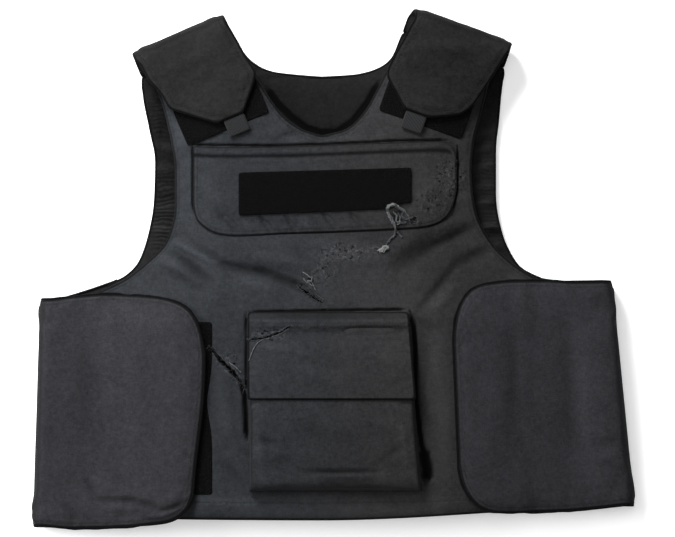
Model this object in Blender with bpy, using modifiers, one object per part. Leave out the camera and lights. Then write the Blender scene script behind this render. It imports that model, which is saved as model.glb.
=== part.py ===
"""A soft-armour vest in a dark cloth carrier, lying flat on its back panel with the front panel up.

Run it with blender --background --python part.py, or from Blender's text editor.
+X is the picture's right, +Y runs from the hem to the neck, and +Z points up from the surface it lies on.
Sizes are in millimetres; to_metres() turns a point into Blender's metres.
"""

from collections import namedtuple
from math import cos, hypot, pi, sin

import bmesh
import bpy
from mathutils import Vector
from mathutils.geometry import intersect_point_line


def table(columns, *rows):
    """A short table: the names of its columns, then its rows."""
    row_type = namedtuple("Row", columns)
    return [row_type(*row) for row in rows]


# Driving thicknesses and heights, in millimetres
MM = 0.001
GAP = 0.3  # air between two pieces that touch
SEAT = 0.8  # the same on the front's curved face, where flat facets meet
PANEL = 9.0  # front and back panel: soft armour in its carrier
WING = 6.5  # padded side panel
STRAP = 6.0  # padded shoulder strap
FLAP = 2.0  # chest and pouch flaps, two layers of cloth
TAPE = 1.5  # loop tape
TAB = 2.5  # folded webbing tab
POUCH_CLOTH = 1.5
PIPING = 3.0  # diameter of the corded edge
PIPING_STOP = 0.08  # how far short of the back's seam it ends, as a share of its first stretch
WELD = 0.01  # points closer than this are one
SHARP_ANGLE = 0.7  # edges that turn by more than this, in radians, are shaded sharp

# A padded piece thins to its seam
SEAM_SHARE = 0.4  # a seam's thickness as a share of the padding's
SEAM_REACH = 13.0  # how far in from the seam the padding is full

# The plan is measured from the chest; this moves the bounding box's centre on to the origin
PLAN_SHIFT = (0.675, 0.29)
MIDDLE = -12.0  # x of the vest's centre line

# The front panel stands above the lining by `middle` on a level crown and by `edge` at its own sides,
# which lie `left` and `right` of the centre line
CROWN = 97.0  # half width of the level crown
HOLLOW = table(
    "up left right middle edge",
    (-250, 254, 272, 25, 1),
    (-60, 250, 260, 26, 1),
    (0, 192, 196, 22, 3),
    (48, 150, 152, 16, 6),
    (130, 150, 152, 16, 7),
    (205, 152, 154, 8, 6),
)

# Folds in the cloth, from a start to an end. One that rises by less than 0 is a valley
FOLD_COLUMNS = "x0 y0 x1 y1 half_width rise"
FRONT_FOLDS = table(
    FOLD_COLUMNS,
    (-172, 30, -12, -34, 27, -4.5),
    (144, 34, 60, -2, 26, -3.5),
    (126, 10, 76, -42, 22, -2.0),
)
WING_FOLDS = table(
    FOLD_COLUMNS,
    (-236, -232, -176, -232, 16, 2.5),
    (-176, -236, -150, -226, 15, 3.0),
    (-262, -70, -256, -200, 30, 2.0),
    (206, -40, 214, -225, 26, 3.0),
    (262, -40, 274, -220, 24, 2.5),
    (160, -60, 164, -200, 22, 2.0),
)
STRAP_FOLDS = table(
    FOLD_COLUMNS,
    (66, 208, 146, 220, 18, 1.8),
    (-166, 206, -104, 228, 20, 1.5),
)

# Outlines as ribs across a panel: from the hem to the bottom of the neckline a rib runs from its left end
# over the centre line to its right end, and above that each shoulder lobe has its own part of it
BODY_COLUMNS = "left_x left_y middle_y right_x right_y"
LOBE_COLUMNS = "left_x left_y left_neck_x left_neck_y right_neck_x right_neck_y right_x right_y"
FRONT_BODY = table(
    BODY_COLUMNS,
    (-268, -249, -251, 262, -243),
    (-266, -236, -238, 261, -231),
    (-264, -150, -150, 257, -148),
    (-261, -62, -80, 250, -58),
    (-254, -36, -46, 240, -26),
    (-208, -10, -6, 203, -8),
    (-186, 8, 24, 180, 6),
    (-167, 29, 52, 156, 28),
    (-159, 62, 84, 141, 60),
    (-159, 100, 110, 137, 98),
    (-163, 130, 133, 140, 131),
)
FRONT_LOBES = table(
    LOBE_COLUMNS,
    (-163, 130, -12, 133, -12, 133, 140, 131),
    (-165, 139, -31, 139, 13, 140, 143, 143),
    (-167, 148, -49, 151, 31, 158, 146, 153),
    (-170, 160, -66, 173, 43, 179, 149, 165),
    (-175, 175, -79, 193, 56, 203, 153, 181),
    (-179, 189, -97, 216, 74, 221, 157, 197),
)
BACK_BODY = table(
    BODY_COLUMNS,
    (-216, -246, -246, 206, -240),
    (-216, -150, -150, 206, -148),
    (-216, -60, -66, 206, -58),
    (-216, -12, -24, 206, -9),
    (-197.5, 4, 8, 188, 2),
    (-186.5, 32, 40, 169, 34),
    (-180, 70, 84, 162, 74),
    (-179, 108, 130, 162, 118),
    (-184, 136, 166, 165, 148),
    (-189, 160, 192.5, 168, 172),
)
BACK_LOBES = table(  # up to the straps' seam
    LOBE_COLUMNS,
    (-189, 160, -12, 192.5, -12, 192.5, 168, 172),
    (-190.5, 168, -38, 194.5, 20, 194.5, 170, 180),
    (-192, 176, -64, 198, 42, 200, 172, 188),
    (-193, 183, -84, 209, 57, 210, 173, 195),
)
RIB_STEPS = 2  # ribs for each row of the body tables
PANEL_COLUMNS = 11  # columns on each side of the centre line
EDGE_SHARES = (0.0, 0.035, 0.085)  # the first of them, close together at the side seam

# A wing runs from its seam on the back to a fold at the vest's side and back over the front to a free end.
# The fold and the end are lines. Its edges are given at shares of the way from the fold to the seam and to
# the end
LINE_COLUMNS = "top_x top_y bottom_x bottom_y"
EDGE_COLUMNS = "share top bottom"
WINGS = {
    "left": {
        "turn": 1.0,
        "seam_x": -216.3,
        "fold": table(LINE_COLUMNS, (-296.0, -30.0, -303.5, -256.0))[0],
        "end": table(LINE_COLUMNS, (-132.5, -60.0, -143.0, -225.0))[0],
        "under": table(EDGE_COLUMNS, (1.0, -12, -243), (0.6, -23, -248), (0.3, -30, -252)),
        "round_fold": table(EDGE_COLUMNS, (0.0, -32, -254))[0],
        "over": table(
            EDGE_COLUMNS,
            (0.25, -29, -257),
            (0.42, -27.5, -256),
            (0.60, -29, -254.5),
            (0.78, -33.5, -252.5),
            (0.90, -40, -247),
            (0.96, -48, -238),
            (0.99, -61, -223),
            (1.0, -80, -206),
        ),
    },
    "right": {
        "turn": -1.0,
        "seam_x": 206.3,
        "fold": table(LINE_COLUMNS, (280.0, -11.0, 303.0, -236.0))[0],
        "end": table(LINE_COLUMNS, (122.5, -60.0, 128.5, -215.0))[0],
        "under": table(EDGE_COLUMNS, (1.0, -11, -237), (0.6, -14, -236), (0.3, -14, -235)),
        "round_fold": table(EDGE_COLUMNS, (0.0, -14, -233))[0],
        "over": table(
            EDGE_COLUMNS,
            (0.25, -15, -239),
            (0.42, -13.5, -240.5),
            (0.60, -13.5, -240.5),
            (0.78, -17, -239.5),
            (0.90, -25, -236),
            (0.96, -37, -226),
            (0.99, -52, -211),
            (1.0, -73, -192),
        ),
    },
}
FOLD_STEPS = 5
WING_STEPS = 2  # stations for each row of the `over` tables
TAPE_RISE = {"from": 26.0, "length": 20.0}  # a wing climbs over the loop tape from this far outside it
WING_ROWS = (0.0, 0.03, 0.08, 0.19, 0.30, 0.42, 0.54, 0.66, 0.78, 0.88, 0.94, 0.975, 1.0)

# A strap is measured from its outer corner on the fold: across it, and down from the fold towards its tip
STRAPS = {
    "left": {"turn": 1.0, "corner": (-202.5, 218.0), "inner": (-112.5, 256.0), "tab_across": 68.5},
    "right": {"turn": -1.0, "corner": (178.5, 228.0), "inner": (85.5, 261.0), "tab_across": 66.0},
}
STRAP_OUTLINE = table(
    "down left_outer left_inner right_outer right_inner",
    (0, 0, 98, 0, 99),
    (14, 3, 99, 1.5, 100),
    (34, 4.5, 101.5, 5.5, 103),
    (50, 10.5, 103, 9.5, 106),
    (68, 12.5, 106.5, 14, 108),
    (76, 22, 101, 16.5, 106),
    (87, 35, 91, 24, 93),
    (100, 51, 79, 53, 79),
)
UNDER_STRAP_WIDER = {"outer": 1.0, "inner": 4.0}  # the layer under the fold
STRAP_SEAM = 28.0  # how far down from the fold the under layer meets the back's lobe
UNDER_STATION = 20.0  # one more row of the under layer, between its seam and the fold
STRAP_STATIONS = (20, 34, 50, 60, 68, 76, 87, 95, 100)
STRAP_COLUMNS = (0.0, 0.06, 0.14, 0.32, 0.5, 0.68, 0.86, 0.94, 1.0)
FOLD_REACH = 12.0  # how far a fold bulges along the cloth
TAB_WIDTH = 21.0
TAB_LENGTH = 18.0
SHOULDER_LOOP = {"across": (15.0, 103.0), "down": (46.0, 110.0)}
SHOULDER_LOOP_GRID = {"across": 6, "down": 5}

# Chest flap: top and bottom edge at stations from left to right, and its section from the top seam down
CHEST_FLAP = table(
    "x top bottom",
    (-141, 123, 62),
    (-138.5, 123, 51),
    (-130, 122.5, 42),
    (-116, 122, 35),
    (-96, 122, 33),
    (-50, 122.5, 35),
    (-4, 124, 36.5),
    (44, 126, 38.5),
    (86, 127.5, 41),
    (102, 128, 44.5),
    (114, 127, 53),
    (119.5, 123, 64),
    (122.5, 112, 80),
)
CHEST_SECTION = table(
    "down rise",
    (0, 0.2),
    (4, 2.4),
    (8, 2.2),
    (13, 0.0),
)
CHEST_SHARES = (0.2, 0.4, 0.6, 0.8, 0.92, 1.0)  # rows of the flap below its band
BAND_SHARE = 0.25  # the band takes at most this share of the flap's depth at its rounded ends
ID_STRIP = table("x top bottom", (-95.0, 96.0, 53.5), (77.0, 101.0, 61.0))

# Side loop tape on the front, under the wings
SIDE_LOOPS = {
    "left": {"outer_x": -186.0, "inner_x": -121.0, "bottom": -225.0, "top": -53.0},
    "right": {"outer_x": 180.0, "inner_x": 126.0, "bottom": -216.0, "top": -64.0},
}
SIDE_LOOP_GRID = {"across": 4, "down": 8}

# Lower pouch
POUCH_LEFT = -85.0
POUCH_RIGHT = {"top": (73.5, -44.0), "bottom": (88.0, -220.0)}
POUCH_SECTION = table(  # the height of its face above the front, along its middle
    "up height",
    (-222, 0),
    (-219, 15),
    (-210, 19),
    (-200, 19.5),
    (-185, 21.5),
    (-160, 22),
    (-130, 20),
    (-105, 17.5),
    (-82, 13.5),
    (-68, 10),
    (-57, 9.5),
)
POUCH_FLAP_ENDS = (-130, -118)  # the flap's free end and the next rib above it
POUCH_FLAP_SEAM = table(  # the same for the flap, from the mouth to its sewn edge
    "up height",
    (-51.5, 8.5),
    (-46.5, 4.0),
    (-42.5, 0.4),
)
POUCH_WALL = 3.0  # how far its side walls lean
POUCH_SHARES = (0.0, 0.12, 0.3, 0.5, 0.7, 0.88, 1.0)
POUCH_CROWN = 0.25  # how much lower its face is at the side walls than in the middle
FLAP_OVERHANG = 1.0  # the flap is this much wider than the pouch on each side


def to_metres(point):
    """A plan point in millimetres, moved to the model's origin, in metres."""
    x, y, z = point
    return Vector((x + PLAN_SHIFT[0], y + PLAN_SHIFT[1], z)) * MM


def smooth(t):
    """0 to 1 with level ends."""
    t = min(max(t, 0.0), 1.0)
    return t * t * (3.0 - 2.0 * t)


def mix(a, b, t):
    return a + (b - a) * t


def look_up(rows, key, column, ease=True):
    """The value of a column where the table's first column is `key`."""
    rows = sorted(rows)
    if key <= rows[0][0]:
        return getattr(rows[0], column)
    for low, high in zip(rows, rows[1:]):
        if key <= high[0]:
            t = (key - low[0]) / (high[0] - low[0])
            return mix(getattr(low, column), getattr(high, column), smooth(t) if ease else t)
    return getattr(rows[-1], column)


def slope_through(before, here, after):
    """The slope of a smooth curve at a table's row, level where the values turn, so it never overshoots."""
    down, up = here - before, after - here
    return 0.0 if down * up <= 0.0 else 2.0 * down * up / (down + up)


def curved_rows(rows, steps):
    """The rows of a table with `steps` rows for each one, on a smooth curve through them."""
    finer = []
    for i in range(len(rows) - 1):
        before = rows[i - 1] if i else [2 * a - b for a, b in zip(rows[0], rows[1])]
        a = rows[i]
        b = rows[i + 1]
        after = rows[i + 2] if i + 2 < len(rows) else [2 * q - p for p, q in zip(a, b)]
        for k in range(steps):
            t = k / steps
            row = []
            for p, q, r, s in zip(before, a, b, after):
                out, into = slope_through(p, q, r), slope_through(q, r, s)
                rest = (3 * (r - q) - 2 * out - into) * t * t + (2 * (q - r) + out + into) * t**3
                row.append(q + out * t + rest)
            finer.append(type(a)(*row))
    finer.append(rows[-1])
    return finer


def folds_at(folds, x, y):
    """The height that the folds of a table add at a point."""
    height = 0.0
    for fold in folds:
        run_x, run_y = fold.x1 - fold.x0, fold.y1 - fold.y0
        length = hypot(run_x, run_y)
        along = ((x - fold.x0) * run_x + (y - fold.y0) * run_y) / length**2
        away = abs((x - fold.x0) * run_y - (y - fold.y0) * run_x) / length / fold.half_width
        if 0.0 < along < 1.0 and away < 1.0:
            height += fold.rise * (1.0 - away**2) ** 2 * sin(pi * along) ** 0.7
    return height


def crown_height(x, y):
    """The height of the front panel's outer face, without its folds."""
    middle = look_up(HOLLOW, y, "middle")
    edge = look_up(HOLLOW, y, "edge")
    half = look_up(HOLLOW, y, "left" if x < MIDDLE else "right")
    t = (abs(x - MIDDLE) - CROWN) / (half - CROWN)
    return 2 * PANEL + mix(middle, edge, 0.5 - 0.5 * cos(pi * min(max(t, 0.0), 1.0)))


def front_height(x, y):
    """The height of the front panel's outer face, with its folds."""
    return crown_height(x, y) + folds_at(FRONT_FOLDS, x, y)


def pouch_right(y):
    """The pouch's right edge, which leans outwards towards the hem."""
    (x0, y0), (x1, y1) = POUCH_RIGHT["top"], POUCH_RIGHT["bottom"]
    return mix(x0, x1, (y - y0) / (y1 - y0))


def pouch_share(x, y):
    """A face is fullest in the middle and lower at its side walls."""
    right = pouch_right(y)
    half = (right - POUCH_LEFT) / 2
    away = (x - (right + POUCH_LEFT) / 2) / half
    return 1.0 - POUCH_CROWN * away * away


def pouch_face(y):
    return look_up(POUCH_SECTION, y, "height", ease=False)


def strap_point(side, across, down):
    """The plan point of a strap's own measures."""
    corner = Vector(STRAPS[side]["corner"])
    along = (Vector(STRAPS[side]["inner"]) - corner).normalized()
    away = Vector((along.y, -along.x)) * STRAPS[side]["turn"]
    return corner + along * across + away * down


def cloth(name, colour, roughness):
    """A plain cloth material: linear colour and roughness, no metal."""
    material = bpy.data.materials.new(name)
    material.use_nodes = True
    shader = material.node_tree.nodes["Principled BSDF"]
    shader.inputs["Base Color"].default_value = (*colour, 1.0)
    shader.inputs["Roughness"].default_value = roughness
    shader.inputs["Metallic"].default_value = 0.0
    material.diffuse_color = (*colour, 1.0)
    return material


def link(name, data, collection, material):
    """A named object of this mesh or curve, in the vest's collection."""
    piece = bpy.data.objects.new(name, data)
    data.materials.append(material)
    collection.objects.link(piece)
    return piece


def edge_distances(bm):
    """How far each vertex of an open sheet lies from the sheet's border, in millimetres."""
    border = [e for e in bm.edges if len(e.link_faces) == 1]
    reach = SEAM_REACH * MM
    distances = {}
    for v in bm.verts:
        nearest = reach
        for e in border:
            a, b = e.verts[0].co, e.verts[1].co
            foot, t = intersect_point_line(v.co, a, b)
            foot = a if t < 0 else b if t > 1 else foot
            nearest = min(nearest, (v.co - foot).length)
        distances[v.index] = nearest / MM
    return distances


def sheet(name, rows, thickness, collection, material, padded=True):
    """A closed piece of cloth from its outer face, given as rows of points. The thickness goes inwards.

    A padded piece thins towards its border, where its outer face rolls in to the seam."""
    bm = bmesh.new()
    grid = [[bm.verts.new(to_metres(p)) for p in row] for row in rows]
    for low, high in zip(grid, grid[1:]):
        for a, b, c, d in zip(low, low[1:], high[1:], high):
            bm.faces.new((a, b, c, d))
    return close_sheet(name, bm, thickness, collection, material, padded)


def close_sheet(name, bm, thickness, collection, material, padded):
    bmesh.ops.remove_doubles(bm, verts=bm.verts, dist=WELD * MM)
    bm.verts.index_update()
    bm.normal_update()
    full = {v.index: 1.0 for v in bm.verts}
    if padded:
        distances = edge_distances(bm)
        normals = {v.index: v.normal.copy() for v in bm.verts}
        for v in bm.verts:
            full[v.index] = sin(0.5 * pi * min(distances[v.index] / SEAM_REACH, 1.0))
            roll = 0.5 * (1.0 - SEAM_SHARE) * thickness * (1.0 - full[v.index])
            v.co -= normals[v.index] * roll * MM
    data = bpy.data.meshes.new(name)
    bm.to_mesh(data)
    bm.free()
    piece = link(name, data, collection, material)
    wall = piece.modifiers.new("wall", "SOLIDIFY")
    wall.thickness = thickness * MM
    wall.offset = -1.0
    wall.use_even_offset = not padded
    if padded:
        group = piece.vertex_groups.new(name="padding")
        for index, share in full.items():
            group.add([index], share, "REPLACE")
        wall.vertex_group = "padding"
        wall.thickness_vertex_group = SEAM_SHARE
    data.shade_smooth()
    data.set_sharp_from_angle(angle=SHARP_ANGLE)
    return piece


def strap_seam():
    """The last rib of the back's lobes, where the straps are sewn on."""
    ends = {}
    for side in ("left", "right"):
        low, high = under_strap_width(side)
        ends[side] = (strap_point(side, low, STRAP_SEAM), strap_point(side, high, STRAP_SEAM))
    left_outer, left_inner = ends["left"]
    right_outer, right_inner = ends["right"]
    return type(BACK_LOBES[0])(*left_outer, *left_inner, *right_inner, *right_outer)


def column_shares(count):
    """Shares of the way from a side edge to the centre line, closer together near the edge."""
    steps = count + 1 - len(EDGE_SHARES)
    rest = [mix(EDGE_SHARES[-1], 1.0, k / steps) for k in range(1, steps + 1)]
    return list(EDGE_SHARES) + rest


def rib_strip(bm, ribs, height):
    """Quads between ribs; a rib is given by its outer and its inner end."""
    grid = []
    for (x0, y0), (x1, y1) in ribs:
        row = []
        for share in column_shares(PANEL_COLUMNS):
            x = mix(x0, x1, share)
            y = mix(y0, y1, smooth(share) if x1 == MIDDLE else share)
            row.append(bm.verts.new(to_metres((x, y, height(x, y)))))
        grid.append(row)
    for low, high in zip(grid, grid[1:]):
        for a, b, c, d in zip(low, low[1:], high[1:], high):
            bm.faces.new((a, b, c, d))


def panel(name, body, lobes, height, outer_up, collection, material):
    """A padded panel with two shoulder lobes, from the ribs of its two tables."""
    bm = bmesh.new()
    body = curved_rows(body, RIB_STEPS)
    lobes = curved_rows(lobes, RIB_STEPS)
    rib_strip(bm, [((r.left_x, r.left_y), (MIDDLE, r.middle_y)) for r in body], height)
    rib_strip(bm, [((r.right_x, r.right_y), (MIDDLE, r.middle_y)) for r in body], height)
    rib_strip(bm, [((r.left_x, r.left_y), (r.left_neck_x, r.left_neck_y)) for r in lobes], height)
    rib_strip(bm, [((r.right_x, r.right_y), (r.right_neck_x, r.right_neck_y)) for r in lobes], height)
    bmesh.ops.remove_doubles(bm, verts=bm.verts, dist=WELD * MM)
    bmesh.ops.recalc_face_normals(bm, faces=bm.faces)
    upward = sum(f.normal.z for f in bm.faces) > 0
    if upward != outer_up:
        bmesh.ops.reverse_faces(bm, faces=bm.faces)
    return close_sheet(name, bm, PANEL, collection, material, padded=True)


def line_x(line, y):
    """Where a wing's fold or end line is at a height on the plan."""
    return mix(line.top_x, line.bottom_x, (y - line.top_y) / (line.bottom_y - line.top_y))


def wing_height(side, x, y):
    """The outer face of a wing's upper layer, clear of the front and of the loop tape on it."""
    into_tape = (x - SIDE_LOOPS[side]["outer_x"]) * WINGS[side]["turn"]
    lift = (TAPE + SEAT) * smooth((into_tape + TAPE_RISE["from"]) / TAPE_RISE["length"])
    return crown_height(x, y) + SEAT + WING + lift + folds_at(WING_FOLDS, x, y)


def wing_stations(side):
    """Stations from the seam, round the fold and over the front to the free end.

    Each is a row of points up the wing, and the way that its outer face looks."""
    wing = WINGS[side]
    fold, turn = wing["fold"], wing["turn"]
    stations = []
    for edge in wing["under"]:
        ys = [mix(edge.bottom, edge.top, v) for v in WING_ROWS]
        row = [(mix(line_x(fold, y), wing["seam_x"], edge.share), y, 0.0) for y in ys]
        stations.append((row, Vector((0, 0, -1))))
    edge = wing["round_fold"]
    ys = [mix(edge.bottom, edge.top, v) for v in WING_ROWS]
    for k in range(FOLD_STEPS + 1):
        angle = pi * (k / FOLD_STEPS - 0.5)
        row = []
        for y in ys:
            half = wing_height(side, line_x(fold, y) + turn * FOLD_REACH, y) / 2
            x = line_x(fold, y) + turn * FOLD_REACH * (1.0 - cos(angle))
            row.append((x, y, half * (1.0 + sin(angle))))
        stations.append((row, Vector((-turn * cos(angle), 0, sin(angle)))))
    for edge in curved_rows(wing["over"], WING_STEPS):
        row = []
        for v in WING_ROWS:
            y = mix(edge.bottom, edge.top, v)
            x = mix(line_x(fold, y), line_x(wing["end"], y), edge.share)
            row.append((x, y, wing_height(side, x, y)))
        stations.append((row, Vector((0, 0, 1))))
    return stations


def outward(rows, flip):
    """The rows so that the sheet's face looks out: a mirrored piece has each row turned round."""
    return [list(reversed(row)) for row in rows] if flip else rows


def wing_piping(name, side, stations, collection, material):
    """A corded edge all along a wing's free edges: its top, its end and its bottom."""
    top = [(row[-1], up) for row, up in stations]
    end_row, end_up = stations[-1]
    end = [(point, end_up) for point in reversed(end_row[1:-1])]
    bottom = [(row[0], up) for row, up in reversed(stations)]
    path = [(Vector(point), up) for point, up in top + end + bottom]
    points = []
    for i, (point, up) in enumerate(path):
        before, after = path[max(i - 1, 0)][0], path[min(i + 1, len(path) - 1)][0]
        outward_way = up.cross(after - before).normalized() * WINGS[side]["turn"]
        points.append(point - up * WING / 2 + outward_way * (PIPING / 2 + GAP))
    points[0] = points[0].lerp(points[1], PIPING_STOP)
    points[-1] = points[-1].lerp(points[-2], PIPING_STOP)
    return tube(name, points, PIPING / 2, collection, material)


def tube(name, points, radius, collection, material):
    """A cord through points in the plan's millimetres."""
    curve = bpy.data.curves.new(name, "CURVE")
    curve.dimensions = "3D"
    curve.bevel_depth = radius * MM
    curve.bevel_resolution = 1
    curve.use_fill_caps = True
    spline = curve.splines.new("POLY")
    spline.points.add(len(points) - 1)
    for target, point in zip(spline.points, points):
        target.co = (*to_metres(point), 1.0)
    return link(name, curve, collection, material)


def strap_height(x, y):
    """The outer face of a strap's upper layer, clear of the loop patch on the front's lobe."""
    return crown_height(x, y) + SEAT + TAPE + SEAT + STRAP + folds_at(STRAP_FOLDS, x, y)


def strap_width(side, down):
    outer = look_up(STRAP_OUTLINE, down, side + "_outer", ease=False)
    inner = look_up(STRAP_OUTLINE, down, side + "_inner", ease=False)
    return outer, inner


def under_strap_width(side):
    """The layer that is sewn to the back is a little wider than the one that folds over."""
    outer, inner = strap_width(side, 0.0)
    return outer - UNDER_STRAP_WIDER["outer"], inner + UNDER_STRAP_WIDER["inner"]


def strap_rows(side):
    """Rows from the seam on the back's lobe, round the fold at the shoulder and down to the tip."""
    rows = []
    low, high = under_strap_width(side)
    for down in (STRAP_SEAM - GAP, UNDER_STATION):
        points = [strap_point(side, mix(low, high, s), down) for s in STRAP_COLUMNS]
        rows.append([(p.x, p.y, 0.0) for p in points])
    fold_low, fold_high = strap_width(side, 0.0)
    for k in range(FOLD_STEPS + 1):
        angle = pi * (k / FOLD_STEPS - 0.5)
        row = []
        for s in STRAP_COLUMNS:
            t = k / FOLD_STEPS
            across = mix(mix(low, fold_low, t), mix(high, fold_high, t), s)
            p = strap_point(side, across, FOLD_REACH * (1.0 - cos(angle)))
            top = strap_point(side, across, FOLD_REACH)
            half = strap_height(top.x, top.y) / 2
            row.append((p.x, p.y, half * (1.0 + sin(angle))))
        rows.append(row)
    for down in STRAP_STATIONS:
        low, high = strap_width(side, down)
        points = [strap_point(side, mix(low, high, s), down) for s in STRAP_COLUMNS]
        rows.append([(p.x, p.y, strap_height(p.x, p.y)) for p in points])
    return rows


def pull_tab(name, side, collection, material):
    """A short webbing tab on the loop patch, from the strap's tip downwards."""
    rows = []
    for share in (0.0, 0.5, 1.0):
        down = STRAP_STATIONS[-1] + GAP + share * TAB_LENGTH
        row = []
        for across in (-0.5, 0.0, 0.5):
            p = strap_point(side, STRAPS[side]["tab_across"] + across * TAB_WIDTH, down)
            row.append((p.x, p.y, crown_height(p.x, p.y) + SEAT + TAPE + SEAT + TAB))
        rows.append(row)
    return sheet(name, outward(rows, side == "left"), TAB, collection, material, padded=False)


def shoulder_loop(name, side, collection, material):
    """The loop patch on the front's shoulder, which the strap's tip closes on."""
    (a0, a1), (d0, d1) = SHOULDER_LOOP["across"], SHOULDER_LOOP["down"]
    columns, steps = SHOULDER_LOOP_GRID["across"], SHOULDER_LOOP_GRID["down"]
    rows = []
    for i in range(steps + 1):
        row = []
        for k in range(columns + 1):
            p = strap_point(side, mix(a0, a1, k / columns), mix(d0, d1, i / steps))
            row.append((p.x, p.y, crown_height(p.x, p.y) + SEAT + TAPE))
        rows.append(row)
    return sheet(name, outward(rows, side == "left"), TAPE, collection, material, padded=False)


def side_loop(name, side, collection, material):
    """The loop strip on the front that a wing's free end closes on."""
    tape = SIDE_LOOPS[side]
    columns, steps = SIDE_LOOP_GRID["across"], SIDE_LOOP_GRID["down"]
    x0, x1 = sorted((tape["outer_x"], tape["inner_x"]))
    rows = []
    for i in range(steps + 1):
        y = mix(tape["bottom"], tape["top"], i / steps)
        xs = [mix(x0, x1, k / columns) for k in range(columns + 1)]
        rows.append([(x, y, front_height(x, y) + SEAT + TAPE) for x in xs])
    return sheet(name, rows, TAPE, collection, material, padded=False)


def chest_flap(collection, material):
    """The flap hangs from its top seam; a rolled band runs along the seam."""
    rows = []
    for x, top, bottom in CHEST_FLAP:
        row = []
        band = min(1.0, BAND_SHARE * (top - bottom) / CHEST_SECTION[-1].down)
        for down, rise in CHEST_SECTION:
            y = top - down * band
            row.append((x, y, front_height(x, y) + SEAT + FLAP + rise * band**2))
        start = row[-1][1]
        for share in CHEST_SHARES:
            y = mix(start, bottom, share)
            row.append((x, y, front_height(x, y) + SEAT + FLAP))
        rows.append(list(reversed(row)))
    return sheet("chest_flap", outward(rows, True), FLAP, collection, material, padded=False)


def id_loop_strip(collection, material):
    """Bare loop tape with a level face, on the level crown of the front."""
    height = crown_height(MIDDLE, ID_STRIP[0].top) + SEAT + FLAP + GAP + TAPE
    rows = [[(end.x, end.bottom, height) for end in ID_STRIP]]
    rows.append([(end.x, end.top, height) for end in ID_STRIP])
    return sheet("id_loop_strip", rows, TAPE, collection, material, padded=False)


def pouch_body(collection, material):
    """A pocket with side and bottom walls and a face. It is open at the mouth and has the front behind it."""
    rows = []
    for up, height in POUCH_SECTION:
        right = pouch_right(up)
        columns = [POUCH_LEFT]
        columns += [mix(POUCH_LEFT + POUCH_WALL, right - POUCH_WALL, s) for s in POUCH_SHARES]
        columns += [right]
        row = []
        for i, x in enumerate(columns):
            rise = 0.0 if i in (0, len(columns) - 1) else height * pouch_share(x, up)
            row.append((x, up, front_height(x, up) + SEAT + rise))
        rows.append(row)
    return sheet("pouch_body", rows, POUCH_CLOTH, collection, material, padded=False)


def pouch_flap(collection, material):
    """The flap is sewn on above the mouth, climbs over it and lies on the pouch's face."""
    rows = []
    ends = [(up, pouch_face(up)) for up in POUCH_FLAP_ENDS]
    over = [row for row in POUCH_SECTION if row.up > POUCH_FLAP_ENDS[1]]
    for up, height in ends + over + POUCH_FLAP_SEAM:
        right = pouch_right(up)
        columns = [mix(POUCH_LEFT - FLAP_OVERHANG, right + FLAP_OVERHANG, s) for s in POUCH_SHARES]
        row = []
        for x in columns:
            rise = height * pouch_share(x, up)
            row.append((x, up, front_height(x, up) + rise + SEAT + FLAP + SEAT))
        rows.append(row)
    return sheet("pouch_flap", rows, FLAP, collection, material, padded=False)


def clear_scene():
    for old in list(bpy.data.objects):
        bpy.data.objects.remove(old, do_unlink=True)


def build():
    clear_scene()
    vest = bpy.data.collections.new("bulletproof_vest")
    bpy.context.scene.collection.children.link(vest)
    carrier = cloth("carrier_cloth", (0.030, 0.034, 0.039), 0.85)
    wing_cloth = cloth("wing_cloth", (0.033, 0.032, 0.037), 0.85)
    strap_cloth = cloth("strap_cloth", (0.026, 0.027, 0.030), 0.85)
    lining = cloth("back_cloth", (0.017, 0.018, 0.019), 0.9)
    loop_tape = cloth("loop_tape", (0.006, 0.006, 0.006), 0.95)
    cord = cloth("piping_cloth", (0.009, 0.009, 0.011), 0.7)
    webbing = cloth("tab_webbing", (0.040, 0.041, 0.043), 0.8)

    back_lobes = BACK_LOBES + [strap_seam()]
    panel("back_panel", BACK_BODY, back_lobes, lambda x, y: 0.0, False, vest, lining)
    panel("front_panel", FRONT_BODY, FRONT_LOBES, front_height, True, vest, carrier)
    for side in ("left", "right"):
        stations = wing_stations(side)
        rows = [row for row, up in stations]
        sheet("wing_" + side, outward(rows, side == "left"), WING, vest, wing_cloth)
        wing_piping("wing_piping_" + side, side, stations, vest, cord)
        side_loop("side_loop_" + side, side, vest, loop_tape)
        shoulder_loop("shoulder_loop_" + side, side, vest, loop_tape)
        rows = strap_rows(side)
        sheet("shoulder_strap_" + side, outward(rows, side == "left"), STRAP, vest, strap_cloth)
        pull_tab("pull_tab_" + side, side, vest, webbing)
    chest_flap(vest, carrier)
    id_loop_strip(vest, loop_tape)
    pouch_body(vest, carrier)
    pouch_flap(vest, carrier)


build()
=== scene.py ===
# %% [markdown]
# # A soft-armour vest, dressed piece by piece
# The vest lies flat on its back panel with the front panel up. Its solids are already placed, and this
# lesson sews a fine cloth piece over each of them: panels, wings, straps, flaps and a pouch. Then it adds
# what only shows from near: stitches, loop pile, corded edges, and the cuts and frayed yarn of the damaged
# front.

# %% Load the frame
from collections import namedtuple
from math import cos, exp, hypot, pi, sin

import bmesh
import bpy
import numpy as np
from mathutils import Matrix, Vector
from mathutils.bvhtree import BVHTree
from mathutils.kdtree import KDTree


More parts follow.
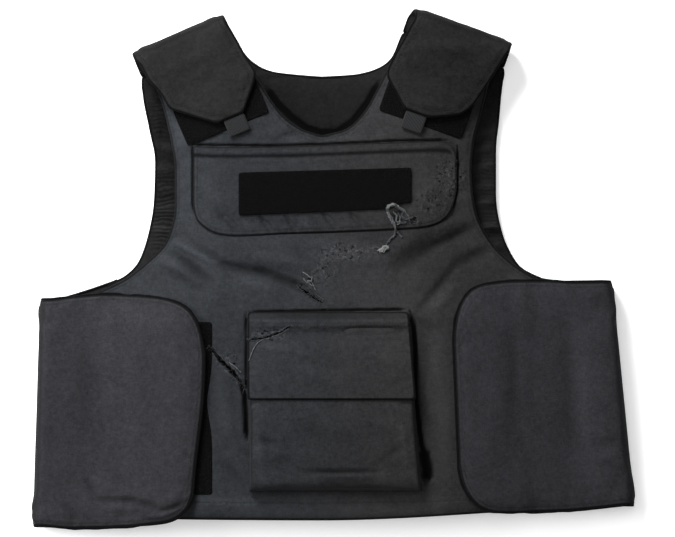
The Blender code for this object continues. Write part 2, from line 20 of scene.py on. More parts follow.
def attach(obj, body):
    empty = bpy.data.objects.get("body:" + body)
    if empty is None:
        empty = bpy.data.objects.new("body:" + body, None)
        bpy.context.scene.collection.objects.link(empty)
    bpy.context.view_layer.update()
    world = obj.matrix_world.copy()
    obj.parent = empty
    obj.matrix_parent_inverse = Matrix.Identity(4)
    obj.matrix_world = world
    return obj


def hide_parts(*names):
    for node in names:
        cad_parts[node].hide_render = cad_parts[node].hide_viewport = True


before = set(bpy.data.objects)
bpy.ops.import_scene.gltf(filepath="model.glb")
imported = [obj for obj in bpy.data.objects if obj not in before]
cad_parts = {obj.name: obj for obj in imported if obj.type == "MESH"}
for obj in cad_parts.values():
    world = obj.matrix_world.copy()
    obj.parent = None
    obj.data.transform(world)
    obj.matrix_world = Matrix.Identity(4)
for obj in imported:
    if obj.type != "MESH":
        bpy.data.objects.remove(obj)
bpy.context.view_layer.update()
MM = 0.001

# %% [markdown]
# ## Camera, floor and light
# The vest was photographed from straight above with a long lens. A camera seven metres up gives nearly the
# same flat view. Its lens is worked out so that one pixel of a 675 pixel wide picture is one millimetre at
# the height of the front panel. The light comes from the upper left, through large soft lamps, over a pale
# floor.

# %% Camera
PHOTO = {"width": 675, "height": 537}
PLAN_ORIGIN = {"px": 334.0, "py": 269.0}  # the photo's pixel at the plan's origin
PLAN_SHIFT = Vector((0.675, 0.29, 0.0))  # from the plan to the model's own origin, in millimetres
CAMERA_HEIGHT = 7000.0
FOCUS_HEIGHT = 26.0  # one pixel is one millimetre here
SENSOR_WIDTH = 36.0  # of a full-frame camera, in millimetres
SEES_TO = 20.0  # metres from the camera


def placed(name, data):
    """A new object in the scene."""
    made = bpy.data.objects.new(name, data)
    bpy.context.scene.collection.objects.link(made)
    return made


camera = placed("camera", bpy.data.cameras.new("camera"))
bpy.context.scene.camera = camera
aim = (PHOTO["width"] / 2 - PLAN_ORIGIN["px"], PLAN_ORIGIN["py"] - PHOTO["height"] / 2)
camera.location = (Vector((*aim, CAMERA_HEIGHT)) + PLAN_SHIFT) * MM
camera.data.sensor_width = SENSOR_WIDTH
camera.data.lens = SENSOR_WIDTH * (CAMERA_HEIGHT - FOCUS_HEIGHT) / PHOTO["width"]
camera.data.clip_end = SEES_TO
print("lens in mm:", round(camera.data.lens, 1))

# %% Floor and lamps
LAMPS = {
    "key": {"place": (-0.75, 1.55, 1.05), "size": 0.7, "power": 75.0},
    "side": {"place": (-1.6, 0.1, 0.9), "size": 0.8, "power": 34.0},
    "top": {"place": (0.1, 0.6, 2.4), "size": 1.4, "power": 12.0},
    "hem": {"place": (0.3, -1.7, 0.7), "size": 1.0, "power": 6.0},
}
WORLD_LIGHT = 0.275
FLOOR = {"size": 12.0, "height": -0.0004}  # a hair below the vest, so that the two never share a plane


def lamp(name, place, size, power):
    """A square soft lamp that looks at the vest."""
    light = placed(name, bpy.data.lights.new(name, "AREA"))
    light.data.size = size
    light.data.energy = power
    light.location = place
    light.rotation_mode = "QUATERNION"
    light.rotation_quaternion = (-Vector(place)).to_track_quat("-Z", "Y")


for name, lamp_facts in LAMPS.items():
    lamp(name, **lamp_facts)

world = bpy.data.worlds.new("studio")
world.use_nodes = True
sky = world.node_tree.nodes["Background"].inputs
sky["Color"].default_value = (1.0, 1.0, 1.0, 1.0)
sky["Strength"].default_value = WORLD_LIGHT
bpy.context.scene.world = world
bpy.context.scene.view_settings.view_transform = "Standard"

bpy.ops.mesh.primitive_plane_add(size=FLOOR["size"], location=(0.0, 0.0, FLOOR["height"]))
floor = bpy.context.object
floor.name = "floor"
print("lamps:", ", ".join(LAMPS))

# %% [markdown]
# ## Shader sums in plain Python
# A cloth's look is a sum of small effects, such as weave, fading and worn edges. Written as nodes, such a
# sum is hard to read. The class below wraps a socket, so that `0.5 * (1 - mask)` adds the Math nodes by
# itself. Everything else comes from one method, which takes a node's type, its settings and what goes into
# its sockets.

# %% A socket that can be used in sums


class Term:
    """A socket in a sum. Each operator adds a Math node, or Vector Math for a vector or a colour."""

    def __init__(self, nodes, socket):
        self.nodes = nodes
        self.socket = socket

    def joined(self, operation, first, second):
        vector = any(isinstance(t, Term) and t.socket.type in ("VECTOR", "RGBA") for t in (first, second))
        kind = "ShaderNodeVectorMath" if vector else "ShaderNodeMath"
        return self.nodes.add(kind, {"operation": operation}, {0: first, 1: second}).out()

    def __add__(self, other):
        return self.joined("ADD", self, other)

    def __radd__(self, other):
        return self.joined("ADD", other, self)

    def __sub__(self, other):
        return self.joined("SUBTRACT", self, other)

    def __rsub__(self, other):
        return self.joined("SUBTRACT", other, self)

    def __mul__(self, other):
        return self.joined("MULTIPLY", self, other)

    def __rmul__(self, other):
        return self.joined("MULTIPLY", other, self)


class Made:
    """A node that was added; out() wraps one of its outputs."""

    def __init__(self, nodes, node):
        self.nodes = nodes
        self.node = node

    def out(self, name=0):
        return Term(self.nodes, self.node.outputs[name])


class Nodes:
    """A node tree, for a material or for geometry."""

    def __init__(self, tree):
        self.tree = tree

    def add(self, kind, settings=None, inputs=None):
        """One node: its settings first, then values or links by socket."""
        node = self.tree.nodes.new(kind)
        for key, value in (settings or {}).items():
            setattr(node, key, value)
        for key, value in (inputs or {}).items():
            self.feed(node.inputs[key], value)
        return Made(self, node)

    def feed(self, socket, value):
        if isinstance(value, Term):
            self.tree.links.new(value.socket, socket)
        elif socket.type == "RGBA" and len(value) == 3:
            socket.default_value = (*value, 1.0)
        elif socket.type == "VECTOR" and not hasattr(value, "__len__"):
            socket.default_value = (value, value, value)
        else:
            socket.default_value = value


class Looks(Nodes):
    """The node tree of one material."""

    def __init__(self, name):
        self.material = bpy.data.materials.new(name)
        self.material.use_nodes = True
        super().__init__(self.material.node_tree)
        self.shader = self.tree.nodes["Principled BSDF"]

    def place(self):
        """Each point's place on the vest, in metres."""
        return self.add("ShaderNodeTexCoord").out("Object")

    def attribute(self, name, output="Fac"):
        return self.add("ShaderNodeAttribute", {"attribute_name": name}).out(output)

    def parts(self, vector):
        """How far a vector goes across and up."""
        node = self.add("ShaderNodeSeparateXYZ", {}, {0: vector})
        return node.out("X"), node.out("Y")

    def sine(self, value):
        return self.add("ShaderNodeMath", {"operation": "SINE"}, {0: value}).out()

    def noise(self, vector, scale, detail=3.0, roughness=0.55):
        """Noise from 0 to 1, with `scale` bumps to the metre."""
        inputs = {"Vector": vector, "Scale": scale, "Detail": detail, "Roughness": roughness}
        return self.add("ShaderNodeTexNoise", {}, inputs).out("Fac")

    def step(self, value, low, high):
        """0 below `low`, 1 above `high`, smooth between."""
        settings = {"interpolation_type": "SMOOTHSTEP"}
        inputs = {"Value": value, "From Min": low, "From Max": high}
        return self.add("ShaderNodeMapRange", settings, inputs).out()

    def inside(self, place, area):
        """1 in the middle of an area of the plan, 0 outside it. The table's row is in millimetres."""
        scaled = place * (1 / (area.half_x * MM), 1 / (area.half_y * MM), 0.0)
        inputs = {0: scaled, 1: (area.x / area.half_x, area.y / area.half_y, 0.0)}
        away = self.add("ShaderNodeVectorMath", {"operation": "DISTANCE"}, inputs).out("Value")
        return 1.0 - self.step(away, 0.25, 1.0)

    def shaded(self, colour, shade):
        """A colour made lighter or darker."""
        inputs = {0: colour, "Scale": shade}
        return self.add("ShaderNodeVectorMath", {"operation": "SCALE"}, inputs).out()

    def blend(self, share, first, second):
        """A colour between two."""
        node = self.add("ShaderNodeMix", {"data_type": "RGBA"})
        sockets = [s for s in node.node.inputs if s.enabled]
        for socket, value in zip(sockets, (share, first, second)):
            self.feed(socket, value)
        return Term(self, [s for s in node.node.outputs if s.enabled][0])

    def relief(self, height, distance, below=None):
        """A bump of `distance` metres; `below` is the normal of the coarser relief under it."""
        inputs = {"Height": height, "Distance": distance, "Strength": 1.0}
        if below is not None:
            inputs["Normal"] = below
        return self.add("ShaderNodeBump", {}, inputs).out()

    def wear(self, colour, roughness, normal=None, plain=None):
        """Feeds the shader: links for colour, roughness and normal, plain numbers by socket for the rest."""
        inputs = {"Base Color": colour, "Roughness": roughness, **(plain or {})}
        if normal is not None:
            inputs["Normal"] = normal
        for name, value in inputs.items():
            self.feed(self.shader.inputs[name], value)
        return self.material


print("shader helpers ready")

# %% [markdown]
# ## The cloths
# The carrier is a dense plain-woven cloth, faded by wear. Its threads lie along the piece's own cut, so the
# pattern reads an attribute, `weave`, which holds each point's place on the flat cut in metres. Two more
# attributes drive the wear and painted shade: `edge` is the distance from the piece's border, where the cloth
# darkens as a dark bound edge with painted shadow under it, and `seam` the distance from its nearest row of
# stitches, both in millimetres. Fading and scuffs are broad noise; slubs are noise drawn out along the
# threads.
# `fold`, `steep`, `torn` and `gap` add painted light and shade: on ridges and in folds, on rolled edges, in
# cuts and in gaps.

# %% Woven cloth
THREAD_PITCH = 0.00085  # from one thread to the next, in metres
GATHER_PITCH = 0.0042  # from one gathered rib to the next


def woven(name, colour, lining, fade=0.22, faded=(), abraded=(), gathered=(), right=None):
    """Plain-woven cloth.

    `lining` is the colour of a piece's inner side, and `right` the one that the cloth turns to towards the
    right.
    The tables of areas are `faded`, broad patches made lighter or darker, which on the back and the straps
    are painted light and shade; `abraded`, with broken and fuzzy threads; and `gathered`, with fine ribs from
    side to side, painted as light and dark stripes."""
    looks = Looks(name)
    place = looks.place()
    place_across, place_up = looks.parts(place)
    cut = looks.attribute("weave", "Vector")
    across, along = looks.parts(cut)

    turns = 2 * pi / THREAD_PITCH
    threads = 0.5 + 0.5 * (looks.sine(across * turns) * looks.sine(along * turns))
    slub_across = looks.noise(cut * (1.0, 0.16, 1.0), 900.0, 2.0)
    slub_along = looks.noise(cut * (0.16, 1.0, 1.0), 900.0, 2.0)
    slubs = 0.5 * (slub_across + slub_along)
    broad = looks.noise(place, 11.0)
    cloudy = looks.noise(place, 48.0, 3.0, 0.6)
    mottle = looks.noise(place, 210.0, 4.0, 0.7)
    speckle = looks.noise(place, 520.0, 2.0, 0.8)
    shade = 1.0 + fade * (2.0 * (broad - 0.5))
    for share, pattern in ((0.5, cloudy), (0.9, slubs), (1.1, mottle), (0.9, speckle)):
        shade = shade + share * (pattern - 0.5)

    seam = looks.attribute("seam")
    in_seam = 1.0 - looks.step(seam, 0.2, 1.5)
    by_seam = 1.0 - looks.step(seam, 0.4, 5.0)
    # Near the border: a dark bound edge, with painted shadow under it
    edge_shade = 1.0 - looks.step(looks.attribute("edge"), 0.9, 2.4)
    # Painted shade on steep, rolled edges, where the light would catch them
    steep_shade = looks.step(looks.attribute("steep"), 0.02, 0.4)
    shade = shade * (1.0 - 0.30 * in_seam) * (1.0 - 0.8 * edge_shade)
    # Painted light on the creases' ridges and painted shade in their folds
    shade = shade * (1.0 + 0.16 * looks.attribute("fold")) * (1.0 - 0.55 * steep_shade)
    # Broad areas made lighter or darker; on the back and the straps this is painted light and shade
    for area in faded:
        shade = shade + area.strength * looks.inside(place, area)
    if abraded:
        fuzz = 0.0
        for area in abraded:
            fuzz = area.strength * looks.inside(place, area) + fuzz
        broken = looks.step(looks.noise(place, 300.0, 3.0, 0.8), 0.48, 0.66)
        pits = looks.step(looks.noise(place, 240.0, 2.0, 0.7), 0.54, 0.66)
        shade = shade + fuzz * (0.1 + 1.9 * broken - 1.7 * pits)
        mottle = mottle + fuzz * (broken - pits)
    # The gathers' ribs are painted as light and dark stripes
    for area in gathered:
        bend = 16.0 * looks.noise(place, 45.0, 2.0) + place_up * (2 * pi / GATHER_PITCH)
        rib = area.strength * (looks.sine(bend) * looks.inside(place, area))
        shade = shade * (1.0 + rib)
        mottle = mottle + 1.5 * rib

    torn = looks.attribute("torn")
    lips = looks.step(torn, 0.2, 0.9) * looks.step(mottle, 0.4, 0.6)
    # Painted shade: nearly black in a cut's middle, and painted shadow along the gaps
    cut_shadow = 1.0 - 0.97 * looks.step(torn, 1.02, 1.3)
    gap_shadow = 1.0 - 0.93 * looks.attribute("gap")
    shade = (shade + 1.3 * lips) * cut_shadow * gap_shadow
    if right:
        to_right = looks.step(place_across + 0.16 * (broad - 0.5), -0.12, 0.10)
        colour = looks.blend(to_right, colour, right)
    both_sides = looks.blend(looks.attribute("outer"), lining, colour)
    puckers = looks.relief(looks.noise(cut, 150.0, 2.0) * by_seam + 0.35 * mottle, 0.0011)
    relief = looks.relief(0.6 * threads + 0.8 * slubs, 0.00022, puckers)
    plain = {"Sheen Weight": 0.02, "Sheen Roughness": 0.5, "Specular IOR Level": 0.05}
    return looks.wear(looks.shaded(both_sides, shade), 0.80 + 0.16 * slubs, relief, plain)


CARRIER = (0.0180, 0.0197, 0.0224)
CARRIER_RIGHT = (0.0190, 0.0188, 0.0196)
LINING = (0.0088, 0.0088, 0.0090)
Area = namedtuple("Area", "x y half_x half_y strength")
# Broad areas of the front made lighter or darker; the three along the armholes are painted light on the
# rolled edges
FRONT_TONES = [
    Area(51, -13, 80, 46, 0.10),
    Area(-104, 10, 70, 50, 0.08),
    Area(-60, -150, 50, 90, -0.06),
    Area(112, 20, 60, 60, -0.16),
    Area(0, -238, 190, 16, 0.45),
    Area(104, -150, 20, 110, 0.45),
    Area(-2, -130, 110, 110, -0.14),
    Area(-10, 46, 140, 26, -0.14),
    Area(-152, 150, 24, 50, 0.35),
    Area(128, 95, 18, 70, 0.35),
    Area(-152, 84, 16, 60, 0.08),
]
# Painted shade on the straps, deepest on the right one
STRAP_SHADE = [Area(110, 205, 90, 80, -0.30), Area(-140, 205, 90, 80, -0.10)]
# Painted shade on the lining in the armholes and the neck, under the front and the straps, and painted light
# on the right armhole's lining
BACK_LIGHT_AND_SHADE = [
    Area(-172, 120, 40, 110, -0.60),
    Area(165, 100, 40, 100, 0.25),
    Area(170, 180, 30, 50, -0.5),
    Area(-12, 170, 90, 50, -0.16),
]
# Gathers of the lining in the armholes, painted as light and dark ribs
BACK_GATHERED = [Area(-170, 56, 24, 60, 0.45), Area(-172, 150, 16, 40, 0.25), Area(160, 70, 22, 90, 0.14)]
ABRADED = [
    Area(117, 91, 24, 30, 0.9),
    Area(97, 66, 22, 20, 0.45),
    Area(11, 17, 34, 14, 0.8),
    Area(36, 19, 24, 10, 0.4),
    Area(-9, -3, 18, 19, 0.6),
    Area(-26, -12, 14, 14, 0.6),
    Area(-102, -92, 16, 15, 0.7),
    Area(-66, -66, 28, 10, 0.7),
]
carrier_cloth = woven("carrier_cloth", CARRIER, LINING, faded=FRONT_TONES, abraded=ABRADED, right=CARRIER_RIGHT)
wing_cloth = woven("wing_cloth", (0.0200, 0.0200, 0.0230), LINING)
strap_cloth = woven("strap_cloth", (0.0126, 0.0127, 0.0131), LINING, faded=STRAP_SHADE)
back_cloth = woven("back_cloth", (0.0124, 0.0126, 0.0131), LINING, 0.12, BACK_LIGHT_AND_SHADE, gathered=BACK_GATHERED)
print("woven cloths made")

# %% [markdown]
# Loop tape is a knitted strip of tiny nylon loops. It is the blackest part, because light is lost between
# the loops. A rough surface with deep fine noise stands for the ground, and real loops are set on it later.
# The cord along the wings and the tabs' webbing have ribs across them, which the `weave` attribute places.

# %% Loop tape, corded edge, webbing, thread and frayed yarn
RIB_DEPTH = 0.0003


def loop_tape_looks():
    looks = Looks("loop_tape")
    place = looks.place()
    pile = looks.noise(place, 700.0, 3.0, 0.8)
    tufts = looks.noise(place, 240.0, 2.0)
    colour = looks.shaded((0.0026, 0.0026, 0.0028), 0.55 + 1.3 * (pile * tufts))
    return looks.wear(colour, 0.95, looks.relief(pile + tufts, 0.0012), {"Specular IOR Level": 0.03})


def ribbed(name, colour, pitch):
    """Cloth with ribs across its length, such as webbing or a bound cord."""
    looks = Looks(name)
    cut = looks.attribute("weave", "Vector")
    wave = looks.sine(looks.parts(cut)[1] * (2 * pi / pitch))
    grain = looks.noise(cut, 1500.0, 2.0)
    tint = looks.shaded(colour, 0.8 + 0.2 * wave + 0.5 * (grain - 0.5))
    return looks.wear(tint, 0.78, looks.relief(wave + 0.5 * grain, RIB_DEPTH), {"Specular IOR Level": 0.05})


def yarn(name, colour, roughness=0.7):
    """Thread or loose yarn: fibres make it uneven along its length."""
    looks = Looks(name)
    fibres = looks.noise(looks.place(), 1800.0, 2.0)
    tint = looks.shaded(colour, 0.6 + 0.8 * fibres)
    return looks.wear(tint, roughness, looks.relief(fibres, 0.0002), {"Specular IOR Level": 0.3})


loop_tape = loop_tape_looks()
# A black cord, made near-black so that it also stands for the painted shadow in the gap beside the wing's
# edge
piping_cloth = ribbed("piping_cloth", (0.0030, 0.0030, 0.0033), 0.0012)
tab_webbing = ribbed("tab_webbing", (0.022, 0.0225, 0.0235), 0.0014)
thread = yarn("sewing_thread", (0.0050, 0.0052, 0.0060))
pile_yarn = yarn("loop_pile", (0.0030, 0.0030, 0.0033), 0.9)
grey_yarn = yarn("frayed_yarn", (0.085, 0.088, 0.092), 0.85)
dark_yarn = yarn("frayed_dark_yarn", (0.040, 0.042, 0.046), 0.85)
white_yarn = yarn("frayed_pale_yarn", (0.165, 0.166, 0.165), 0.9)

plain_floor = Looks("plain_floor")
light_table = {"Specular IOR Level": 0.1, "Emission Color": (1.0, 1.0, 1.0), "Emission Strength": 0.35}
floor.data.materials.append(plain_floor.wear((0.90, 0.90, 0.90), 0.9, None, light_table))
print("materials:", len(bpy.data.materials))

# %% [markdown]
# ## The cut of the vest
# The next tables are the pattern that the solids were built from, in millimetres on the plan. A table names
# its columns once, and each row is one rib, station or fold. Between rows the cut follows a smooth curve.

# %% Tables and curves


def table(columns, *rows):
    """A short table: the names of its columns, then its rows."""
    row_type = namedtuple("Row", columns)
    return [row_type(*row) for row in rows]


def smooth(t):
    """0 to 1 with level ends."""
    t = min(max(t, 0.0), 1.0)
    return t * t * (3.0 - 2.0 * t)


def mix(a, b, t):
    return a + (b - a) * t


def shares(count, ease=0.0):
    """Numbers from 0 to 1 in even steps, or closer at both ends where `ease` is more than 0."""
    return [mix(k / count, smooth(k / count), ease) for k in range(count + 1)]


def bell(value, middle, spread):
    """1 in the middle, falling softly to 0 on both sides."""
    return exp(-(((value - middle) / spread) ** 2))


def look_up(rows, key, column, ease=True):
    """The value of a column where the table's first column is `key`."""
    if key <= rows[0][0]:
        return getattr(rows[0], column)
    for low, high in zip(rows, rows[1:]):
        if key <= high[0]:
            t = (key - low[0]) / (high[0] - low[0])
            return mix(getattr(low, column), getattr(high, column), smooth(t) if ease else t)
    return getattr(rows[-1], column)


def slope_through(before, here, after):
    """The slope of a smooth curve at a row, level where the values turn, so it never overshoots."""
    down, up = here - before, after - here
    return 0.0 if down * up <= 0.0 else 2.0 * down * up / (down + up)


def first_column(a, b):
    """How far it is from one row to the next in the first column."""
    return abs(b[0] - a[0])


def curved_rows(rows, step, run=first_column):
    """The rows of a table with more between them, on a smooth curve through them.

    They are about `step` apart, where `run` measures how far it is from one row to the next."""
    finer = []
    for i, (a, b) in enumerate(zip(rows, rows[1:])):
        before = rows[i - 1] if i else [2 * p - q for p, q in zip(a, b)]
        after = rows[i + 2] if i + 2 < len(rows) else [2 * q - p for p, q in zip(a, b)]
        steps = max(1, round(run(a, b) / step))
        for k in range(steps):
            t = k / steps
            row = []
            for p, q, r, w in zip(before, a, b, after):
                out, into = slope_through(p, q, r), slope_through(q, r, w)
                rest = (3 * (r - q) - 2 * out - into) * t * t + (2 * (q - r) + out + into) * t**3
                row.append(q + out * t + rest)
            finer.append(type(a)(*row))
    finer.append(rows[-1])
    return finer


# %% Thicknesses and the front's height
SEAT = 0.8  # air between a piece and the one it lies on
PANEL = 9.0
WING = 6.5
STRAP = 6.0
FLAP = 2.0
TAPE = 1.5
TAB = 2.5
POUCH_CLOTH = 1.5
PIPING = 3.0
SEAM_SHARE = 0.4  # a padded piece thins to this share of its thickness at its seam
SEAM_REACH = 13.0
MIDDLE = -12.0
CROWN = 97.0
HOLLOW = table(
    "up left right middle edge",
    (-250, 254, 272, 25, 1),
    (-60, 250, 260, 26, 1),
    (0, 192, 196, 22, 3),
    (48, 150, 152, 16, 6),
    (130, 150, 152, 16, 7),
    (205, 152, 154, 8, 6),
)
FOLD_COLUMNS = "x0 y0 x1 y1 half_width rise"
FRONT_FOLDS = table(
    FOLD_COLUMNS,
    (-172, 30, -12, -34, 27, -4.5),
    (144, 34, 60, -2, 26, -3.5),
    (126, 10, 76, -42, 22, -2.0),
)
# Sharper creases that only the cloth shows, dragged from the armholes towards the pouch
FRONT_CREASES = table(
    FOLD_COLUMNS,
    (-162, 29, -116, 3, 4.5, 4.0),
    (-138, 24, -98, -1, 5, -2.4),
    (-116, 5, -60, -6, 7, -3.4),
    (-80, 1, -24, -22, 7, -3.4),
    (-44, -11, -6, -37, 6, -2.0),
    (-100, -10, -54, -23, 8, 1.8),
    (-84, 14, -30, 4, 8, 1.6),
    (-162, 18, -118, -17, 8, -3.8),
    (-176, 3, -122, -26, 7, -2.0),
    (-178, 14, -136, -6, 8, 1.0),
    (-150, -14, -112, -34, 8, 0.8),
    (146, 46, 84, 15, 7, -2.8),
    (104, 33, 58, -2, 15, -3.0),
    (134, 52, 96, 38, 6, 0.9),
    (158, 21, 116, 3, 8, -2.4),
    (126, 9, 80, -48, 6, -2.2),
    (124, -14, 100, -42, 7, 1.4),
    (84, -48, 108, -66, 7, -1.0),
    (104, -60, 98, -150, 12, 1.0),
    (-96, -60, -102, -84, 7, 1.0),
    (-112, -100, -106, -170, 9, 0.9),
    (-116, -190, -86, -217, 7, -1.9),
    (-106, -180, -88, -196, 6, 0.8),
    (-92, 52, -40, 46, 6, -0.9),
    (-70, 30, 20, 24, 10, 1.0),
    (-30, 8, 60, 14, 12, 0.9),
    (0, 26, 44, 8, 6, -0.7),
    (-134, 116, -140, 60, 8, 0.7),
    (-150, -232, -60, -236, 9, 0.9),
    (-40, -236, 80, -238, 9, 0.7),
    (-80, -224, -20, -222, 6, -0.7),
    (10, -224, 70, -225, 6, -0.6),
)
WING_FOLDS = table(
    FOLD_COLUMNS,
    (-236, -232, -176, -232, 16, 2.5),
    (-176, -236, -150, -226, 15, 3.0),
    (-262, -70, -256, -200, 30, 2.0),
    (206, -40, 214, -225, 26, 3.0),
    (262, -40, 274, -220, 24, 2.5),
    (160, -60, 164, -200, 22, 2.0),
)
WING_CREASES = table(
    FOLD_COLUMNS,
    (-249, -208, -238, -230, 5, -2.0),
    (-240, -205, -226, -224, 6, 1.2),
    (-244, -231, -194, -231, 4.5, -2.2),
    (-214, -228, -168, -240, 5, -2.0),
    (-232, -239, -196, -240, 6, 1.2),
    (-178, -244, -148, -233, 4.5, -2.2),
    (-186, -247, -152, -242, 5, 1.6),
    (-268, -246, -254, -254, 8, -0.9),
    (-271, -232, -256, -250, 6, -1.2),
    (-250, -60, -246, -180, 10, -0.6),
    (-222, -44, -226, -150, 12, 0.6),
    (-190, -60, -186, -190, 12, -0.5),
    (232, -40, 240, -190, 10, -0.9),
    (178, -34, 182, -170, 9, -0.7),
    (248, -60, 256, -200, 10, 0.7),
    (262, -178, 290, -168, 8, -0.9),
    (256, -190, 286, -186, 8, 0.7),
    (150, -120, 190, -116, 10, 0.4),
)
STRAP_FOLDS = table(
    FOLD_COLUMNS,
    (66, 208, 146, 220, 18, 1.8),
    (-166, 206, -104, 228, 20, 1.5),
)
STRAP_CREASES = table(
    FOLD_COLUMNS,
    (68, 216, 150, 210, 8, -0.8),
    (72, 226, 156, 222, 8, 0.6),
    (120, 190, 156, 182, 6, -0.7),
    (-190, 214, -120, 240, 9, -0.6),
    (-176, 196, -110, 222, 9, 0.6),
    (-150, 176, -110, 200, 8, -0.5),
)
# Gathers of the lining where the front's weight has pushed it together, seen in the armholes
GATHERS = table(
    FOLD_COLUMNS,
    (-192, 128, -150, 118, 6, 2.0),
    (-190, 104, -152, 98, 7, 2.2),
    (-190, 84, -150, 76, 6, 1.8),
    (-188, 62, -150, 58, 7, 2.0),
    (-188, 40, -160, 38, 6, 1.8),
    (176, 142, 134, 134, 6, 2.0),
    (174, 124, 134, 118, 6, 2.2),
    (172, 106, 134, 100, 6, 2.0),
    (172, 84, 134, 81, 5, 1.6),
    (176, 67, 136, 65.5, 3.6, 4.2),
    (180, 42, 142, 43, 3.4, 3.8),
    (172, 44, 140, 38, 6, 2.0),
    (174, 26, 150, 20, 6, 2.6),
)


def folds_at(folds, x, y):
    """The height that the folds of a table add at a point, or at arrays of points."""
    height = 0.0 * x
    for fold in folds:
        run_x, run_y = fold.x1 - fold.x0, fold.y1 - fold.y0
        length = hypot(run_x, run_y)
        along = np.clip(((x - fold.x0) * run_x + (y - fold.y0) * run_y) / length**2, 0.0, 1.0)
        away = np.abs((x - fold.x0) * run_y - (y - fold.y0) * run_x) / length / fold.half_width
        height = height + fold.rise * (1.0 - np.minimum(away, 1.0) ** 2) ** 2 * np.sin(pi * along) ** 0.7
    return height


def crown_height(x, y):
    """The height of the front panel's outer face, without its folds."""
    middle = look_up(HOLLOW, y, "middle")
    edge = look_up(HOLLOW, y, "edge")
    half = look_up(HOLLOW, y, "left" if x < MIDDLE else "right")
    t = (abs(x - MIDDLE) - CROWN) / (half - CROWN)
    return 2 * PANEL + mix(middle, edge, 0.5 - 0.5 * cos(pi * min(max(t, 0.0), 1.0)))


def front_height(x, y):
    """The height of the front panel's outer face, with its broad folds."""
    return crown_height(x, y) + folds_at(FRONT_FOLDS, x, y)


print("front's height at the chest:", round(front_height(MIDDLE, 80), 1), "mm")

# %% [markdown]
# ## Sewing a piece
# A sewn piece starts as one open sheet, its outer face, laid out as a grid of points. It gets its padding
# by moving a copy of the sheet inwards. The padding is full in the middle and thins towards the border,
# where a real carrier is stitched shut. Blender's Solidify could do this, but building the wall here keeps
# the attributes that the cloths need.

# %% From an open sheet to a closed, padded piece
WELD = 0.01  # points closer than this are one
BORDER_STEP = 1.5  # how finely a border is sampled to measure distances from it
FAR = 60.0  # the distance that is noted where a border or a seam is further away


def sampled(path, step):
    """Points along a path, about `step` apart."""
    points = []
    for a, b in zip(path, path[1:]):
        count = max(1, round((b - a).length / step))
        points += [a.lerp(b, k / count) for k in range(count)]
    return points + [path[-1]]


def tree_of(points):
    """A search tree over points."""
    tree = KDTree(len(points))
    for i, p in enumerate(points):
        tree.insert(p, i)
    tree.balance()
    return tree


def nearest_of(paths, step=BORDER_STEP):
    """A search tree over points sampled along paths."""
    return tree_of([p for path in paths for p in sampled(path, step)])


def border_loops(bm):
    """The borders of an open sheet, each as its vertices in the order in which the faces run."""
    following = {}
    for e in bm.edges:
        if len(e.link_faces) == 1:
            loop = e.link_loops[0]
            following[loop.vert] = loop.link_loop_next.vert
    loops = []
    while following:
        start = next(iter(following))
        ring = [start]
        here = following.pop(start)
        while here is not start:
            ring.append(here)
            here = following.pop(here)
        loops.append(ring)
    return loops


def sheet_of(patches, look):
    """One open sheet from patches, each rows of (x, y, z, across, along).

    `look` is 1 if its highest face looks up, and -1 if it looks down."""
    bm = bmesh.new()
    weave = bm.verts.layers.float_vector.new("weave")
    for rows in patches:
        grid = []
        for row in rows:
            made = []
            for x, y, z, across, along in row:
                v = bm.verts.new((Vector((x, y, z)) + PLAN_SHIFT))
                v[weave] = (across * MM, along * MM, 0.0)
                made.append(v)
            grid.append(made)
        for low, high in zip(grid, grid[1:]):
            for a, b, c, d in zip(low, low[1:], high[1:], high):
                bm.faces.new((a, b, c, d))
    bmesh.ops.remove_doubles(bm, verts=bm.verts, dist=WELD)
    bmesh.ops.recalc_face_normals(bm, faces=bm.faces)
    highest = max(bm.faces, key=lambda f: f.calc_center_median().z)
    if highest.normal.z * look < 0:
        bmesh.ops.reverse_faces(bm, faces=bm.faces)
    bm.normal_update()
    bm.verts.index_update()
    return bm


